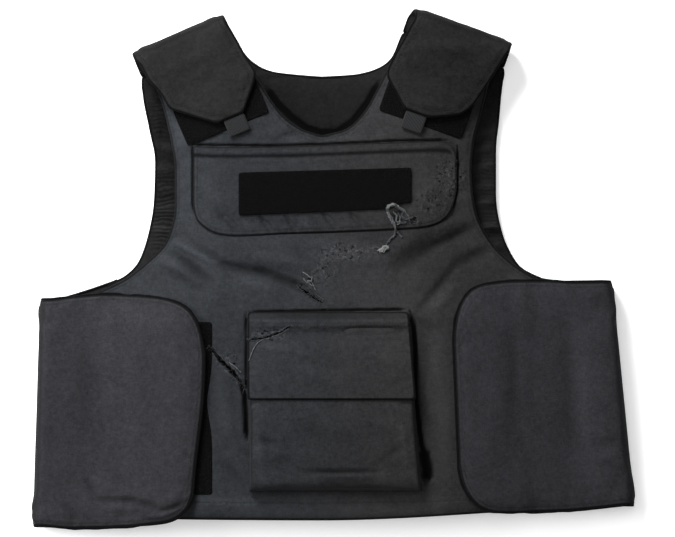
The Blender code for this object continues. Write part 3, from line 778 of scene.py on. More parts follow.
def sew(name, patches, thickness, material, padding=True, look=1):
    """A closed piece around an open sheet.

    Returns the piece and its borders, each a list of (place, way in, normal) in model millimetres."""
    bm = sheet_of(patches, look)
    weave = bm.verts.layers.float_vector["weave"]
    rings = border_loops(bm)
    tree = nearest_of([[v.co.copy() for v in ring] + [ring[0].co.copy()] for ring in rings])
    count = len(bm.verts)
    away = [min(tree.find(v.co)[2], FAR) for v in bm.verts]
    outer, inner = [], []
    for v in bm.verts:
        full = sin(0.5 * pi * min(away[v.index] / SEAM_REACH, 1.0)) if padding else 1.0
        wall = thickness * mix(SEAM_SHARE, 1.0, full) if padding else thickness
        roll = 0.5 * (1.0 - SEAM_SHARE) * thickness * (1.0 - full)
        top = v.co - v.normal * roll
        outer.append(top)
        inner.append(top - v.normal * wall)
    faces = [[v.index for v in f.verts] for f in bm.faces]
    faces += [[v.index + count for v in reversed(f.verts)] for f in bm.faces]
    rims, borders = [], []
    cuts = [tuple(v[weave]) for v in bm.verts]
    rim_cuts = []
    for ring in rings:
        border = []
        first = 2 * count + len(rims)
        for i, v in enumerate(ring):
            run = ring[(i + 1) % len(ring)].co - ring[i - 1].co
            way_in = v.normal.cross(run).normalized()
            border.append((v.co.copy(), way_in, v.normal.copy()))
            half = (outer[v.index] - inner[v.index]).length / 2
            rims.append((outer[v.index] + inner[v.index]) / 2 - way_in * 0.5 * half)
            rim_cuts.append(cuts[v.index])
        for i, v in enumerate(ring):
            j = (i + 1) % len(ring)
            a, b = v.index, ring[j].index
            faces.append((b, a, first + i, first + j))
            faces.append((first + j, first + i, a + count, b + count))
        borders.append(border)
    bm.free()

    mesh = bpy.data.meshes.new(name)
    mesh.from_pydata([p * MM for p in outer + inner + rims], [], faces)
    add_points(mesh, "edge", away + away + [0.0] * len(rims))
    add_points(mesh, "outer", [1.0] * count + [0.0] * count + [1.0] * len(rims))
    add_points(mesh, "seam", [FAR] * (2 * count + len(rims)))
    cut_layer = mesh.attributes.new("weave", "FLOAT_VECTOR", "POINT")
    cut_layer.data.foreach_set("vector", [c for cut in cuts + cuts + rim_cuts for c in cut])
    mesh.materials.append(material)
    mesh.shade_smooth()
    return placed(name, mesh), borders


def add_points(mesh, name, values):
    """A number for each point of a mesh, which materials can read by name."""
    layer = mesh.attributes.get(name) or mesh.attributes.new(name, "FLOAT", "POINT")
    layer.data.foreach_set("value", values)


def values_of(mesh, name):
    """The numbers that add_points stored."""
    values = np.empty(len(mesh.vertices))
    mesh.attributes[name].data.foreach_get("value", values)
    return values


def rows_of(mesh, name):
    """The places ("co", in metres) or the normals ("normal") of a mesh's points, a row for each."""
    values = np.empty(len(mesh.vertices) * 3)
    mesh.vertices.foreach_get(name, values)
    return values.reshape(-1, 3)


def move_points(mesh, places):
    """Gives a mesh's points new places, in metres."""
    mesh.vertices.foreach_set("co", places.ravel())
    mesh.update()


def as_seen(piece):
    """The piece as its modifiers make it."""
    return piece.evaluated_get(bpy.context.evaluated_depsgraph_get())


print("sewing helpers ready")

# %% [markdown]
# ## Swelling the padding
# Padded cloth isn't smooth: it is fuller than its seams, so it swells and crumples a little between them.
# Blender's Cloth does this well. The cloth is made a little too large for its seams, pressure fills it, and
# the stitched border is held. No point may move more than a millimetre or two, so the piece keeps its place
# and size.

# %% Cloth simulation, kept small
FRAMES = 20
CLOTH = {
    "quality": 5,
    "mass": 0.15,
    "tension_stiffness": 12.0,
    "compression_stiffness": 12.0,
    "shear_stiffness": 6.0,
    "bending_stiffness": 0.6,
    "air_damping": 2.0,
    "use_pressure": True,
}


def swell(piece, cap=1.6, pressure=4.0, slack=0.012, held_within=3.0):
    """Runs the cloth simulation on a piece and keeps its result.

    No point moves further than `cap`, and those `held_within` the border stay. Both are in millimetres."""
    mesh = piece.data
    rest = rows_of(mesh, "co")
    held = piece.vertex_groups.new(name="held")
    held.add([int(i) for i in np.flatnonzero(values_of(mesh, "edge") < held_within)], 1.0, "REPLACE")
    cloth = piece.modifiers.new("cloth", "CLOTH")
    for name, value in CLOTH.items():
        setattr(cloth.settings, name, value)
    cloth.settings.uniform_pressure_force = pressure
    cloth.settings.shrink_min = -slack
    cloth.settings.effector_weights.gravity = 0.0
    cloth.settings.vertex_group_mass = "held"
    cloth.point_cache.frame_end = FRAMES
    for number in range(1, FRAMES + 1):
        bpy.context.scene.frame_set(number)
    moved = rows_of(as_seen(piece).data, "co") - rest
    piece.modifiers.remove(cloth)
    piece.vertex_groups.clear()
    bpy.context.scene.frame_set(1)
    length = np.linalg.norm(moved, axis=1, keepdims=True)
    limit = cap * MM
    moved *= limit * np.tanh(length / limit) / np.maximum(length, 1e-9)
    swollen = rest + moved
    swollen[:, 2] = np.maximum(swollen[:, 2], 0.0)  # the underside stays flat on the floor
    move_points(mesh, swollen)
    print(f"{piece.name}: swelled by up to {length.max() / MM:.1f} mm, kept {limit / MM:.1f}")


def refine(piece):
    """Subdivides a finished cage once and keeps the result as the piece's own mesh."""
    finer = piece.modifiers.new("finer", "SUBSURF")
    finer.levels = finer.render_levels = 1
    mesh = bpy.data.meshes.new_from_object(as_seen(piece))
    piece.modifiers.remove(finer)
    old = piece.data
    piece.data = mesh
    bpy.data.meshes.remove(old)
    mesh.shade_smooth()


print("cloth helpers ready")

# %% [markdown]
# ## Seams
# A row of stitches pulls the cloth down into a shallow groove. Most rows run parallel to a piece's border,
# so their path is the border, moved inwards. Others are drawn on the plan and dropped on to the cloth.
# `press_seams` makes the grooves and notes each point's distance from them, which the cloths use to darken
# and pucker along a seam.

# %% Paths of stitches on a finished piece
ABOVE = 200.0  # paths that are drawn on the plan drop on to the cloth from this height
CLEAR = 0.93  # a row of stitches runs at least this share of its distance from a border
ROUND_CORNER = 0.4  # in a corner it goes on if this share is left, and is cut in two otherwise
HOVER = 0.5  # the nearest cloth is looked for from this height over a path


def surface_of(piece):
    """A search tree over a piece's faces, in model millimetres."""
    mesh = piece.data
    places = [v.co / MM for v in mesh.vertices]
    return BVHTree.FromPolygons(places, [tuple(p.vertices) for p in mesh.polygons])


def inset(border, distance):
    """Stretches of a path parallel to a border, `distance` inside it, as (place, normal) pairs."""
    tree = nearest_of([[p for p, way_in, normal in border] + [border[0][0]]])
    ring = [(p + way_in * distance, normal) for p, way_in, normal in border]
    away = [tree.find(p)[2] for p, normal in ring]
    if min(away) > CLEAR * distance:
        return [ring + [ring[0]]]
    start = next(i for i, gap in enumerate(away) if gap <= CLEAR * distance)
    stretches, current = [], []
    for gap, point in zip(away[start:] + away[:start], ring[start:] + ring[:start]):
        if gap > CLEAR * distance:
            current.append(point)
        elif len(current) > 2 and gap <= ROUND_CORNER * distance:
            stretches.append(current)
            current = []
    if len(current) > 2:
        stretches.append(current)
    return stretches


def laid_on(surface, stretch):
    """A path of (place, normal) pairs moved on to the nearest cloth."""
    return [surface.find_nearest(place + normal * HOVER)[:2] for place, normal in stretch]


def dropped(surface, path, step=2.0):
    """A path drawn on the plan, dropped on to the cloth from above, as (place, normal) pairs."""
    laid = []
    for point in sampled([Vector((x, y, 0.0)) + PLAN_SHIFT for x, y in path], step):
        hit, facing = surface.ray_cast(Vector((point.x, point.y, ABOVE)), Vector((0, 0, -1)))[:2]
        if hit is not None:
            laid.append((hit, facing))
    return laid


def press_seams(piece, paths, depth, half_width):
    """Grooves along paths of (place, normal) pairs, and the `seam` attribute."""
    mesh = piece.data
    tree = nearest_of([[place for place, normal in path] for path in paths])
    places = rows_of(mesh, "co") / MM
    away = np.array([tree.find(p)[2] for p in places])
    groove = depth * np.exp(-((away / half_width) ** 2))
    places -= rows_of(mesh, "normal") * groove[:, None]
    add_points(mesh, "seam", away)
    move_points(mesh, places * MM)


print("seam helpers ready")

# %% [markdown]
# ## Front and back panels
# Each panel is a set of ribs from its left edge over the centre line to its right edge, and above the
# bottom of the neckline each shoulder lobe has its own. The front stands up in the middle, because the
# chest's hollow holds its shape, and the back lies flat. The lining of the back shows in the neck and the
# armholes.

# %% Outlines of the panels
BODY_COLUMNS = "left_x left_y middle_y right_x right_y"
LOBE_COLUMNS = "left_x left_y left_neck_x left_neck_y right_neck_x right_neck_y right_x right_y"
FRONT_BODY = table(
    BODY_COLUMNS,
    (-268, -249, -250.5, 262, -239.5),
    (-266, -236, -238, 261, -229),
    (-264, -150, -150, 257, -148),
    (-261, -62, -80, 250, -58),
    (-254, -36, -46, 240, -26),
    (-208, -10, -6, 201, -9),
    (-186, 8, 24, 179, 5),
    (-167, 29, 52, 156, 28),
    (-159, 62, 84, 141, 60),
    (-159, 100, 110, 137, 98),
    (-163, 130, 133, 140, 131),
)
FRONT_LOBES = table(
    LOBE_COLUMNS,
    (-163, 130, -12, 133, -12, 133, 140, 131),
    (-165, 139, -31, 139, 13, 140, 143, 143),
    (-167, 148, -49, 151, 31, 158, 146, 153),
    (-170, 160, -66, 173, 43, 179, 149, 165),
    (-175, 175, -79, 193, 56, 203, 153, 181),
    (-179, 189, -97, 216, 74, 221, 157, 197),
)
BACK_BODY = table(
    BODY_COLUMNS,
    (-216, -246, -246, 206, -240),
    (-216, -150, -150, 206, -148),
    (-216, -60, -66, 206, -58),
    (-229, -19.5, -28, 213, -14),
    (-211, -8.5, -11, 199, -5.5),
    (-197.5, 4, 8, 187, 1.5),
    (-186.5, 32, 40, 169, 33.5),
    (-180, 70, 84, 162, 74),
    (-179, 108, 130, 162, 118),
    (-184, 136, 166, 165, 148),
    (-189, 160, 192.5, 167, 172),
)
BACK_LOBES = table(  # up to the straps' seam
    LOBE_COLUMNS,
    (-189, 160, -12, 192.5, -12, 192.5, 167, 172),
    (-190.5, 168, -38, 194.5, 20, 194.5, 168, 180),
    (-191.5, 176, -64, 198, 42, 200, 169, 188),
    (-192.5, 183, -84, 209, 57, 210, 170.5, 195),
)
STRAPS = {
    "left": {"turn": 1.0, "corner": (-202.5, 218.0), "inner": (-112.5, 256.0), "tab_across": 68.5},
    "right": {"turn": -1.0, "corner": (178.5, 228.0), "inner": (85.5, 261.0), "tab_across": 66.0},
}
STRAP_OUTLINE = table(
    "down left_outer left_inner right_outer right_inner",
    (0, 0, 98, 0, 99),
    (14, 3, 99, 1.5, 100),
    (34, 4.5, 101.5, 5.5, 103),
    (50, 10.5, 103, 9.5, 106),
    (68, 12.5, 106.5, 14, 108),
    (76, 22, 101, 16.5, 106),
    (87, 35, 91, 24, 93),
    (100, 51, 79, 53, 79),
)
STRAP_SEAM = 28.0
NECK_EASE = 60.0  # ribs are level in the middle, and straighten over this width of the neck
UNDER_STRAP_WIDER = {"left": (1.0, 1.0), "right": (1.0, 7.5)}  # at the outer and the inner edge
FOLD_REACH = 12.0


def strap_point(side, across, down):
    """The plan point of a strap's own measures: across it, and down from its fold."""
    corner = Vector(STRAPS[side]["corner"])
    along = (Vector(STRAPS[side]["inner"]) - corner).normalized()
    away = Vector((along.y, -along.x)) * STRAPS[side]["turn"]
    return corner + along * across + away * down


def strap_width(side, down):
    outer = look_up(STRAP_OUTLINE, down, side + "_outer", ease=False)
    inner = look_up(STRAP_OUTLINE, down, side + "_inner", ease=False)
    return outer, inner


def under_strap_width(side):
    outer, inner = strap_width(side, 0.0)
    more_outer, more_inner = UNDER_STRAP_WIDER[side]
    return outer - more_outer, inner + more_inner


def strap_seam():
    """The last rib of the back's lobes, where the straps are sewn on."""
    ends = []
    for side in ("left", "right"):
        low, high = under_strap_width(side)
        ends.append((strap_point(side, low, STRAP_SEAM), strap_point(side, high, STRAP_SEAM)))
    (left_outer, left_inner), (right_outer, right_inner) = ends
    return type(BACK_LOBES[0])(*left_outer, *left_inner, *right_inner, *right_outer)


# %% Panels as patches of ribs
PANEL_GRIDS = {"front": {"spacing": 5.2, "columns": 45}, "back": {"spacing": 7.0, "columns": 36}}
CLOSER_OUTSIDE = 0.2  # how much closer the columns stand at a panel's outer edge


def furthest(a, b):
    """The longest way that any value goes from one row to the next."""
    return max(abs(q - p) for p, q in zip(a, b))


def panel_patches(body, lobes, height, spacing, columns):
    """Four patches: the body left and right of the centre line, and the two shoulder lobes."""
    body, lobes = curved_rows(body, spacing, furthest), curved_rows(lobes, spacing, furthest)
    ribs = [
        [((r.left_x, r.left_y), (MIDDLE, r.middle_y)) for r in body],
        [((r.right_x, r.right_y), (MIDDLE, r.middle_y)) for r in body],
        [((r.left_x, r.left_y), (r.left_neck_x, r.left_neck_y)) for r in lobes],
        [((r.right_x, r.right_y), (r.right_neck_x, r.right_neck_y)) for r in lobes],
    ]
    patches = []
    for strip in ribs:
        rows = []
        for (x0, y0), (x1, y1) in strip:
            level = max(0.0, 1.0 - abs(x1 - MIDDLE) / NECK_EASE)
            row = []
            for even in shares(columns):
                share = mix(even, even * even, CLOSER_OUTSIDE)
                x, y = mix(x0, x1, share), mix(y0, y1, mix(share, smooth(share), level))
                row.append((x, y, height(x, y), x, y))
            rows.append(row)
        patches.append(rows)
    return patches


front_patches = panel_patches(FRONT_BODY, FRONT_LOBES, front_height, **PANEL_GRIDS["front"])
front, front_borders = sew("front_panel_cloth", front_patches, PANEL, carrier_cloth)
back_lobes = BACK_LOBES + [strap_seam()]
back_patches = panel_patches(BACK_BODY, back_lobes, lambda x, y: 0.0, **PANEL_GRIDS["back"])
back, back_borders = sew("back_panel_cloth", back_patches, PANEL, back_cloth, look=-1)
for piece in (front, back):
    print(piece.name, len(piece.data.polygons), "faces before the finish")

# %% [markdown]
# ## Side wings
# A wing is sewn to the back panel, folds round the vest's side and closes on the front. It is drawn as
# stations from that seam round the fold to the free end. The pattern of its threads follows the cloth round
# the fold.

# %% Wings
Line = namedtuple("Line", "top_x top_y bottom_x bottom_y")
WINGS = {
    "left": {
        "turn": 1.0,
        "seam_x": -216.3,
        "fold": Line(-296.0, -30.0, -303.5, -256.0),
        "end": Line(-131.0, -60.0, -142.0, -225.0),
        "bow": 4.2,
    },
    "right": {
        "turn": -1.0,
        "seam_x": 206.3,
        "fold": Line(280.0, -11.0, 303.0, -236.0),
        "end": Line(119.5, -60.0, 126.0, -215.0),
        "bow": 0.0,
    },
}
EDGE_COLUMNS = "share left_top left_bottom right_top right_bottom"
WING_UNDER = table(  # the layer under the vest, from the seam (1) to the fold (0)
    EDGE_COLUMNS,
    (1.0, -12, -243, -11, -237),
    (0.6, -23, -248, -14, -236),
    (0.3, -30, -252, -14, -235),
    (0.15, -32, -254, -14, -233),
)
WING_OVER = table(  # the layer on the front, from the fold (0) to the free end (1)
    EDGE_COLUMNS,
    (0.073, -31, -256.5, -13, -235.5),
    (0.25, -27.5, -259, -13.5, -239),
    (0.42, -25.5, -258.5, -12, -241.5),
    (0.60, -26.5, -257, -12, -242.5),
    (0.74, -29, -254.5, -13.6, -243),
    (0.84, -34, -252.5, -17, -241.5),
    (0.91, -41.5, -248.5, -25, -234.8),
    (0.955, -52, -243, -36, -225.6),
    (0.985, -66, -236.5, -50, -214),
    (1.0, -84, -227, -68, -199),
)
SIDE_LOOPS = {
    "left": {"outer_x": -186.0, "inner_x": -121.8, "bottom": -225.0, "top": -53.0, "bow": -5.0},
    "right": {"outer_x": 180.0, "inner_x": 129.5, "bottom": -211.0, "top": -68.0, "bow": 0.0},
}
TAPE_RISE = {"from": 26.0, "length": 20.0}
END_BOW = {"middle": -125.0, "spread": 60.0}  # where a wing's free end bulges the most
WING_GRID = {"station": 5.0, "rows": 44, "ease": 0.45, "fold": 12}


def line_x(line, y):
    """Where a wing's fold or end line is at a height on the plan."""
    return mix(line.top_x, line.bottom_x, (y - line.top_y) / (line.bottom_y - line.top_y))


def wing_height(side, x, y):
    """The outer face of a wing's upper layer, clear of the front and of the loop tape on it."""
    into_tape = (x - SIDE_LOOPS[side]["outer_x"]) * WINGS[side]["turn"]
    lift = (TAPE + SEAT) * smooth((into_tape + TAPE_RISE["from"]) / TAPE_RISE["length"])
    return crown_height(x, y) + SEAT + WING + lift + folds_at(WING_FOLDS, x, y)


def wing_stations(side):
    """Rows of points up the wing, from its seam on the back to its free end."""
    wing = WINGS[side]
    fold, end, turn = wing["fold"], wing["end"], wing["turn"]
    width = abs(end.top_x - fold.top_x)
    ups = shares(WING_GRID["rows"], WING_GRID["ease"])

    def edges_of(layer):
        return curved_rows(layer, WING_GRID["station"], lambda a, b: abs(b.share - a.share) * width)

    def heights(edge):
        top, bottom = getattr(edge, side + "_top"), getattr(edge, side + "_bottom")
        return [mix(bottom, top, up) for up in ups]

    stations = []
    for edge in edges_of(WING_UNDER):
        stations.append([(mix(line_x(fold, y), wing["seam_x"], edge.share), y, 0.0) for y in heights(edge)])
    for k in range(1, WING_GRID["fold"]):
        angle = pi * (k / WING_GRID["fold"] - 0.5)
        row = []
        for y in heights(WING_OVER[0]):
            half = wing_height(side, line_x(fold, y) + turn * FOLD_REACH, y) / 2
            x = line_x(fold, y) + turn * FOLD_REACH * (1.0 - cos(angle))
            row.append((x, y, half * (1.0 + sin(angle))))
        stations.append(row)
    for edge in edges_of(WING_OVER):
        row = []
        for y in heights(edge):
            bow = turn * wing["bow"] * bell(y, **END_BOW)
            x = mix(line_x(fold, y), line_x(end, y) + bow, edge.share)
            row.append((x, y, wing_height(side, x, y)))
        stations.append(row)
    return stations


def with_cut(rows):
    """Adds each point's place on the flat cut: how far it is along the rows, and across them."""
    middle = len(rows[0]) // 2
    along = 0.0
    patch = []
    for i, row in enumerate(rows):
        if i:
            along += (Vector(row[middle]) - Vector(rows[i - 1][middle])).length
        across = 0.0
        made = []
        for k, point in enumerate(row):
            if k:
                across += (Vector(point) - Vector(row[k - 1])).length
            made.append((*point, along, across))
        patch.append(made)
    return [patch]


wings, wing_borders = {}, {}
for side in WINGS:
    patches = with_cut(wing_stations(side))
    wings[side], wing_borders[side] = sew(f"wing_{side}_cloth", patches, WING, wing_cloth)
print("wings:", len(wings["left"].data.polygons), "faces each before the finish")

# %% [markdown]
# ## Shoulder straps
# A strap is sewn to the back's lobe, folds over the shoulder and ends in a tip with cut corners, which
# closes on the loop patch of the front. It is drawn in its own measures, across and down from the fold.

# %% Straps
STRAP_GRID = {"station": 4.0, "columns": 24, "ease": 0.4, "fold": 12}
STRAP_SEAM_GAP = 0.3  # between a strap and the back's lobe that it is sewn to


def strap_height(x, y):
    """The outer face of a strap's upper layer, clear of the loop patch on the front's lobe."""
    return crown_height(x, y) + SEAT + TAPE + SEAT + STRAP + folds_at(STRAP_FOLDS, x, y)


def strap_rows(side):
    """Rows from the seam on the back's lobe, round the fold at the shoulder and down to the tip."""
    columns = shares(STRAP_GRID["columns"], STRAP_GRID["ease"])
    rows = []
    low, high = under_strap_width(side)
    down = STRAP_SEAM - STRAP_SEAM_GAP
    while down > FOLD_REACH:
        points = [strap_point(side, mix(low, high, s), down) for s in columns]
        rows.append([(p.x, p.y, 0.0) for p in points])
        down -= STRAP_GRID["station"]
    fold_low, fold_high = strap_width(side, 0.0)
    for t in shares(STRAP_GRID["fold"]):
        angle = pi * (t - 0.5)
        row = []
        for s in columns:
            across = mix(mix(low, fold_low, t), mix(high, fold_high, t), s)
            p = strap_point(side, across, FOLD_REACH * (1.0 - cos(angle)))
            top = strap_point(side, across, FOLD_REACH)
            row.append((p.x, p.y, strap_height(top.x, top.y) / 2 * (1.0 + sin(angle))))
        rows.append(row)
    tip = STRAP_OUTLINE[-1].down
    for t in shares(round((tip - FOLD_REACH) / STRAP_GRID["station"]))[1:]:
        down = mix(FOLD_REACH, tip, t)
        low, high = strap_width(side, down)
        points = [strap_point(side, mix(low, high, s), down) for s in columns]
        rows.append([(p.x, p.y, strap_height(p.x, p.y)) for p in points])
    return rows


straps, strap_borders = {}, {}
for side in STRAPS:
    name = f"shoulder_strap_{side}_cloth"
    straps[side], strap_borders[side] = sew(name, with_cut(strap_rows(side)), STRAP, strap_cloth)
print("straps:", len(straps["left"].data.polygons), "faces each before the finish")

# %% [markdown]
# ## Chest flap, pouch and loop tape
# The chest flap hangs from a seam under a rolled band. The pouch is a pocket with side walls and a flap of
# its own over the mouth. They are two layers of cloth, so they are sewn without padding. Loop tape lies
# bare on the chest flap, on the front's lobes and under the wings' free ends.

# %% Chest flap
CHEST_FLAP = table(
    "x top bottom",
    (-141, 123, 62),
    (-138.5, 123, 51),
    (-130, 122.5, 42),
    (-116, 122, 35),
    (-96, 122, 33),
    (-50, 122.5, 35),
    (-4, 124, 36.5),
    (44, 126, 38.5),
    (86, 127.5, 41),
    (102, 128, 44.5),
    (114, 127, 53),
    (119.5, 123, 64),
    (122.5, 112, 80),
)
CHEST_SECTION = table("down rise", (0, 0.0), (3, 2.8), (7, 3.0), (9.6, 0.8), (11, -0.3), (15, 0.2))
BAND_SHARE = 0.25
CHEST_ROWS = 24
CHEST_STEPS = {"down": 1.3, "across": 3.2}
ID_STRIP = table("x top bottom", (-95.0, 96.0, 53.5), (77.0, 101.0, 61.0))
TORN_CORNER = {"from": 51.0, "length": 20.0, "height": 7.0}
FLAP_CREASES = table(
    FOLD_COLUMNS,
    (-104, 114, -60, 108, 5, 0.7),
    (-119, 62, -108, 44, 3.5, -1.4),
    (-112, 56, -94, 37, 4.0, -2.6),
    (-75, 54, -60, 36, 3.8, -2.6),
    (-50, 54, -36, 37, 3.6, -2.0),
    (-12, 58, 4, 40, 3.8, -2.6),
    (15, 57, 29, 41, 3.6, -2.0),
    (-92, 50, -78, 38, 5, 1.2),
    (-34, 52, -18, 38, 6, 1.2),
    (60, 44, 84, 60, 6, 0.8),
    (84, 66, 108, 92, 9, 0.6),
    (-132, 96, -112, 60, 8, 0.6),
    (-30, 112, 60, 116, 6, 0.5),
)


def chest_flap_rows():
    """Columns from left to right, each from the bottom edge up to the seam."""
    section = curved_rows(CHEST_SECTION, CHEST_STEPS["down"])
    rows = []
    for x, top, bottom in curved_rows(CHEST_FLAP, CHEST_STEPS["across"]):
        band = min(1.0, BAND_SHARE * (top - bottom) / CHEST_SECTION[-1].down)
        places = [(top - down * band, rise * band**2) for down, rise in section]
        start = places[-1][0]
        places += [(mix(start, bottom, t), 0.0) for t in shares(CHEST_ROWS)[1:]]
        rows.append([(x, y, front_height(x, y) + SEAT + FLAP + rise) for y, rise in reversed(places)])
    return rows


def flat_cut(rows):
    """For a piece that lies flat: the pattern of its threads follows the plan."""
    return [[[(x, y, z, x, y) for x, y, z in row] for row in rows]]


def sew_thin(name, patches, thickness, material=carrier_cloth):
    """A sheet that has the same thickness all over."""
    return sew(name, patches, thickness, material, padding=False)


chest_flap, chest_borders = sew_thin("chest_flap_cloth", flat_cut(chest_flap_rows()), FLAP)

# %% Pouch
POUCH_LEFT = -85.0
POUCH_RIGHT = {"top": (73.5, -44.0), "bottom": (88.0, -220.0)}
POUCH_SECTION = table(
    "up height",
    (-222, 0),
    (-219, 15),
    (-210, 19),
    (-200, 19.5),
    (-185, 21.5),
    (-160, 22),
    (-130, 20),
    (-105, 17.5),
    (-82, 13.5),
    (-68, 10),
    (-57, 9.5),
)
POUCH_FLAP_END = -130.0
POUCH_FLAP_SEAM = table("up height", (-51.5, 8.5), (-46.5, 4.0), (-42.5, 0.4))
POUCH_WALL = 3.0
POUCH_EDGE = table("wall height", (0.0, 0.0), (0.3, 0.5), (0.55, 0.85))  # shares, up the side walls
POUCH_CROWN = 0.25
POUCH_STEPS = {"face": 3.5, "flap": 3.0}
FLAP_OVERHANG = 1.0
POUCH_COLUMNS = 36
POUCH_CREASES = table(
    FOLD_COLUMNS,
    (-34, -202, 50, -202, 4.5, -2.4),
    (-16, -212, 48, -212, 9, -1.8),
    (-80, -170, -54, -175, 6, -1.4),
    (-78, -150, -70, -204, 8, 1.2),
    (-74, -140, -20, -150, 9, 0.6),
    (30, -148, 76, -160, 9, 0.7),
    (40, -196, 80, -170, 7, -0.8),
    (-70, -196, -36, -186, 7, -0.6),
    (66, -140, 74, -200, 6, 0.8),
    (-30, -160, 40, -176, 12, -0.6),
)
POUCH_FLAP_CREASES = table(
    FOLD_COLUMNS,
    (-50, -62, 40, -61, 6, -1.4),
    (6, -62, 80, -60, 7, -3.0),
    (-84, -64, -40, -60, 6, -0.9),
    (-80, -76, -30, -82, 6, 0.8),
    (-50, -100, 20, -108, 10, 0.6),
    (30, -84, 76, -96, 8, 0.7),
    (-72, -112, -60, -128, 6, -0.6),
    (50, -116, 76, -110, 7, -0.6),
)


def pouch_right(y):
    """The pouch's right edge, which leans outwards towards the hem."""
    (x0, y0), (x1, y1) = POUCH_RIGHT["top"], POUCH_RIGHT["bottom"]
    return mix(x0, x1, (y - y0) / (y1 - y0))


def pouch_share(x, y):
    """A face is fullest in the middle and lower at its side walls."""
    right = pouch_right(y)
    away = (x - (right + POUCH_LEFT) / 2) / ((right - POUCH_LEFT) / 2)
    return 1.0 - POUCH_CROWN * away * away


def both_columns(a, b):
    """The straight way from one row of two columns to the next."""
    return hypot(b[0] - a[0], b[1] - a[1])


def pouch_rows():
    """Rows from the bottom wall up over the face to the mouth, each from side wall to side wall."""
    rows = []
    for up, height in curved_rows(POUCH_SECTION, POUCH_STEPS["face"], both_columns):
        right = pouch_right(up)
        left, wide = POUCH_LEFT + POUCH_WALL, right - POUCH_LEFT - 2 * POUCH_WALL
        columns = [(POUCH_LEFT + POUCH_WALL * edge.wall, edge.height) for edge in POUCH_EDGE]
        columns += [(left + wide * t, 1.0) for t in shares(POUCH_COLUMNS)]
        columns += [(right - POUCH_WALL * edge.wall, edge.height) for edge in reversed(POUCH_EDGE)]
        row = []
        for x, full in columns:
            row.append((x, up, front_height(x, up) + SEAT + full * height * pouch_share(x, up)))
        rows.append(row)
    return rows


def pouch_flap_rows():
    """Rows from the flap's free end up over the mouth to its seam."""
    over = [row for row in POUCH_SECTION if row.up > POUCH_FLAP_END]
    end = type(over[0])(POUCH_FLAP_END, look_up(POUCH_SECTION, POUCH_FLAP_END, "height", ease=False))
    rows = []
    for up, height in curved_rows([end] + over + POUCH_FLAP_SEAM, POUCH_STEPS["flap"]):
        row = []
        for t in shares(POUCH_COLUMNS):
            x = mix(POUCH_LEFT - FLAP_OVERHANG, pouch_right(up) + FLAP_OVERHANG, t)
            row.append((x, up, front_height(x, up) + height * pouch_share(x, up) + SEAT + FLAP + SEAT))
        rows.append(row)
    return rows


pouch = sew_thin("pouch_body_cloth", with_cut(pouch_rows()), POUCH_CLOTH)[0]
pouch_flap = sew_thin("pouch_flap_cloth", with_cut(pouch_flap_rows()), FLAP)[0]
print("flap and pouch sewn")

# %% Loop tape and pull tabs
SHOULDER_LOOP = {"across": (15.0, 103.0), "down": (46.0, 110.0)}
TAB_WIDTH = 21.0
TAB_LENGTH = 18.0
TAB_GAP = 0.3  # between a tab and the tip that it is sewn to
ID_STRIP_SEAT = 0.3
ID_STRIP_TATTERS = {"share": 0.15, "turns": 1.7}  # the torn corner's edge goes up and down
LEFT_TAPE_BOW = {"middle": -133.0, "spread": 24.0}  # where a fold has pulled the left tape aside
TAPE_GRIDS = {"shoulder": (16, 12), "side": (14, 40), "strip": (48, 12), "tab": (8, 8)}  # columns and rows


def strap_grid(side, across, down, rise, grid):
    """Rows of a patch that lies in line with a strap, `rise` above the front."""
    columns, steps = grid
    rows = []
    for t in shares(steps):
        points = [strap_point(side, mix(*across, s), mix(*down, t)) for s in shares(columns)]
        rows.append([(p.x, p.y, crown_height(p.x, p.y) + rise) for p in points])
    return rows


def side_loop_rows(side):
    tape = SIDE_LOOPS[side]
    columns, steps = TAPE_GRIDS["side"]
    rows = []
    for t in shares(steps):
        y = mix(tape["bottom"], tape["top"], t)
        bow = tape["bow"] * bell(y, **LEFT_TAPE_BOW)
        xs = [mix(tape["outer_x"], tape["inner_x"], s) + bow for s in shares(columns)]
        rows.append([(x, y, front_height(x, y) + SEAT + TAPE) for x in xs])
    return rows


def id_strip_rows():
    height = crown_height(MIDDLE, ID_STRIP[0].top) + SEAT + FLAP + ID_STRIP_SEAT + TAPE
    tatters = ID_STRIP_TATTERS["share"]
    columns, steps = TAPE_GRIDS["strip"]
    rows = []
    for t in shares(steps):
        row = []
        for s in shares(columns):
            x, top, bottom = (mix(a, b, s) for a, b in zip(*ID_STRIP))
            torn_off = TORN_CORNER["height"] * smooth((x - TORN_CORNER["from"]) / TORN_CORNER["length"])
            bottom += torn_off * (1.0 - tatters + tatters * sin(ID_STRIP_TATTERS["turns"] * x))
            row.append((x, mix(bottom, top, t), height))
        rows.append(row)
    return rows


def sew_tape(name, patches):
    return sew_thin(name, patches, TAPE, loop_tape)[0]


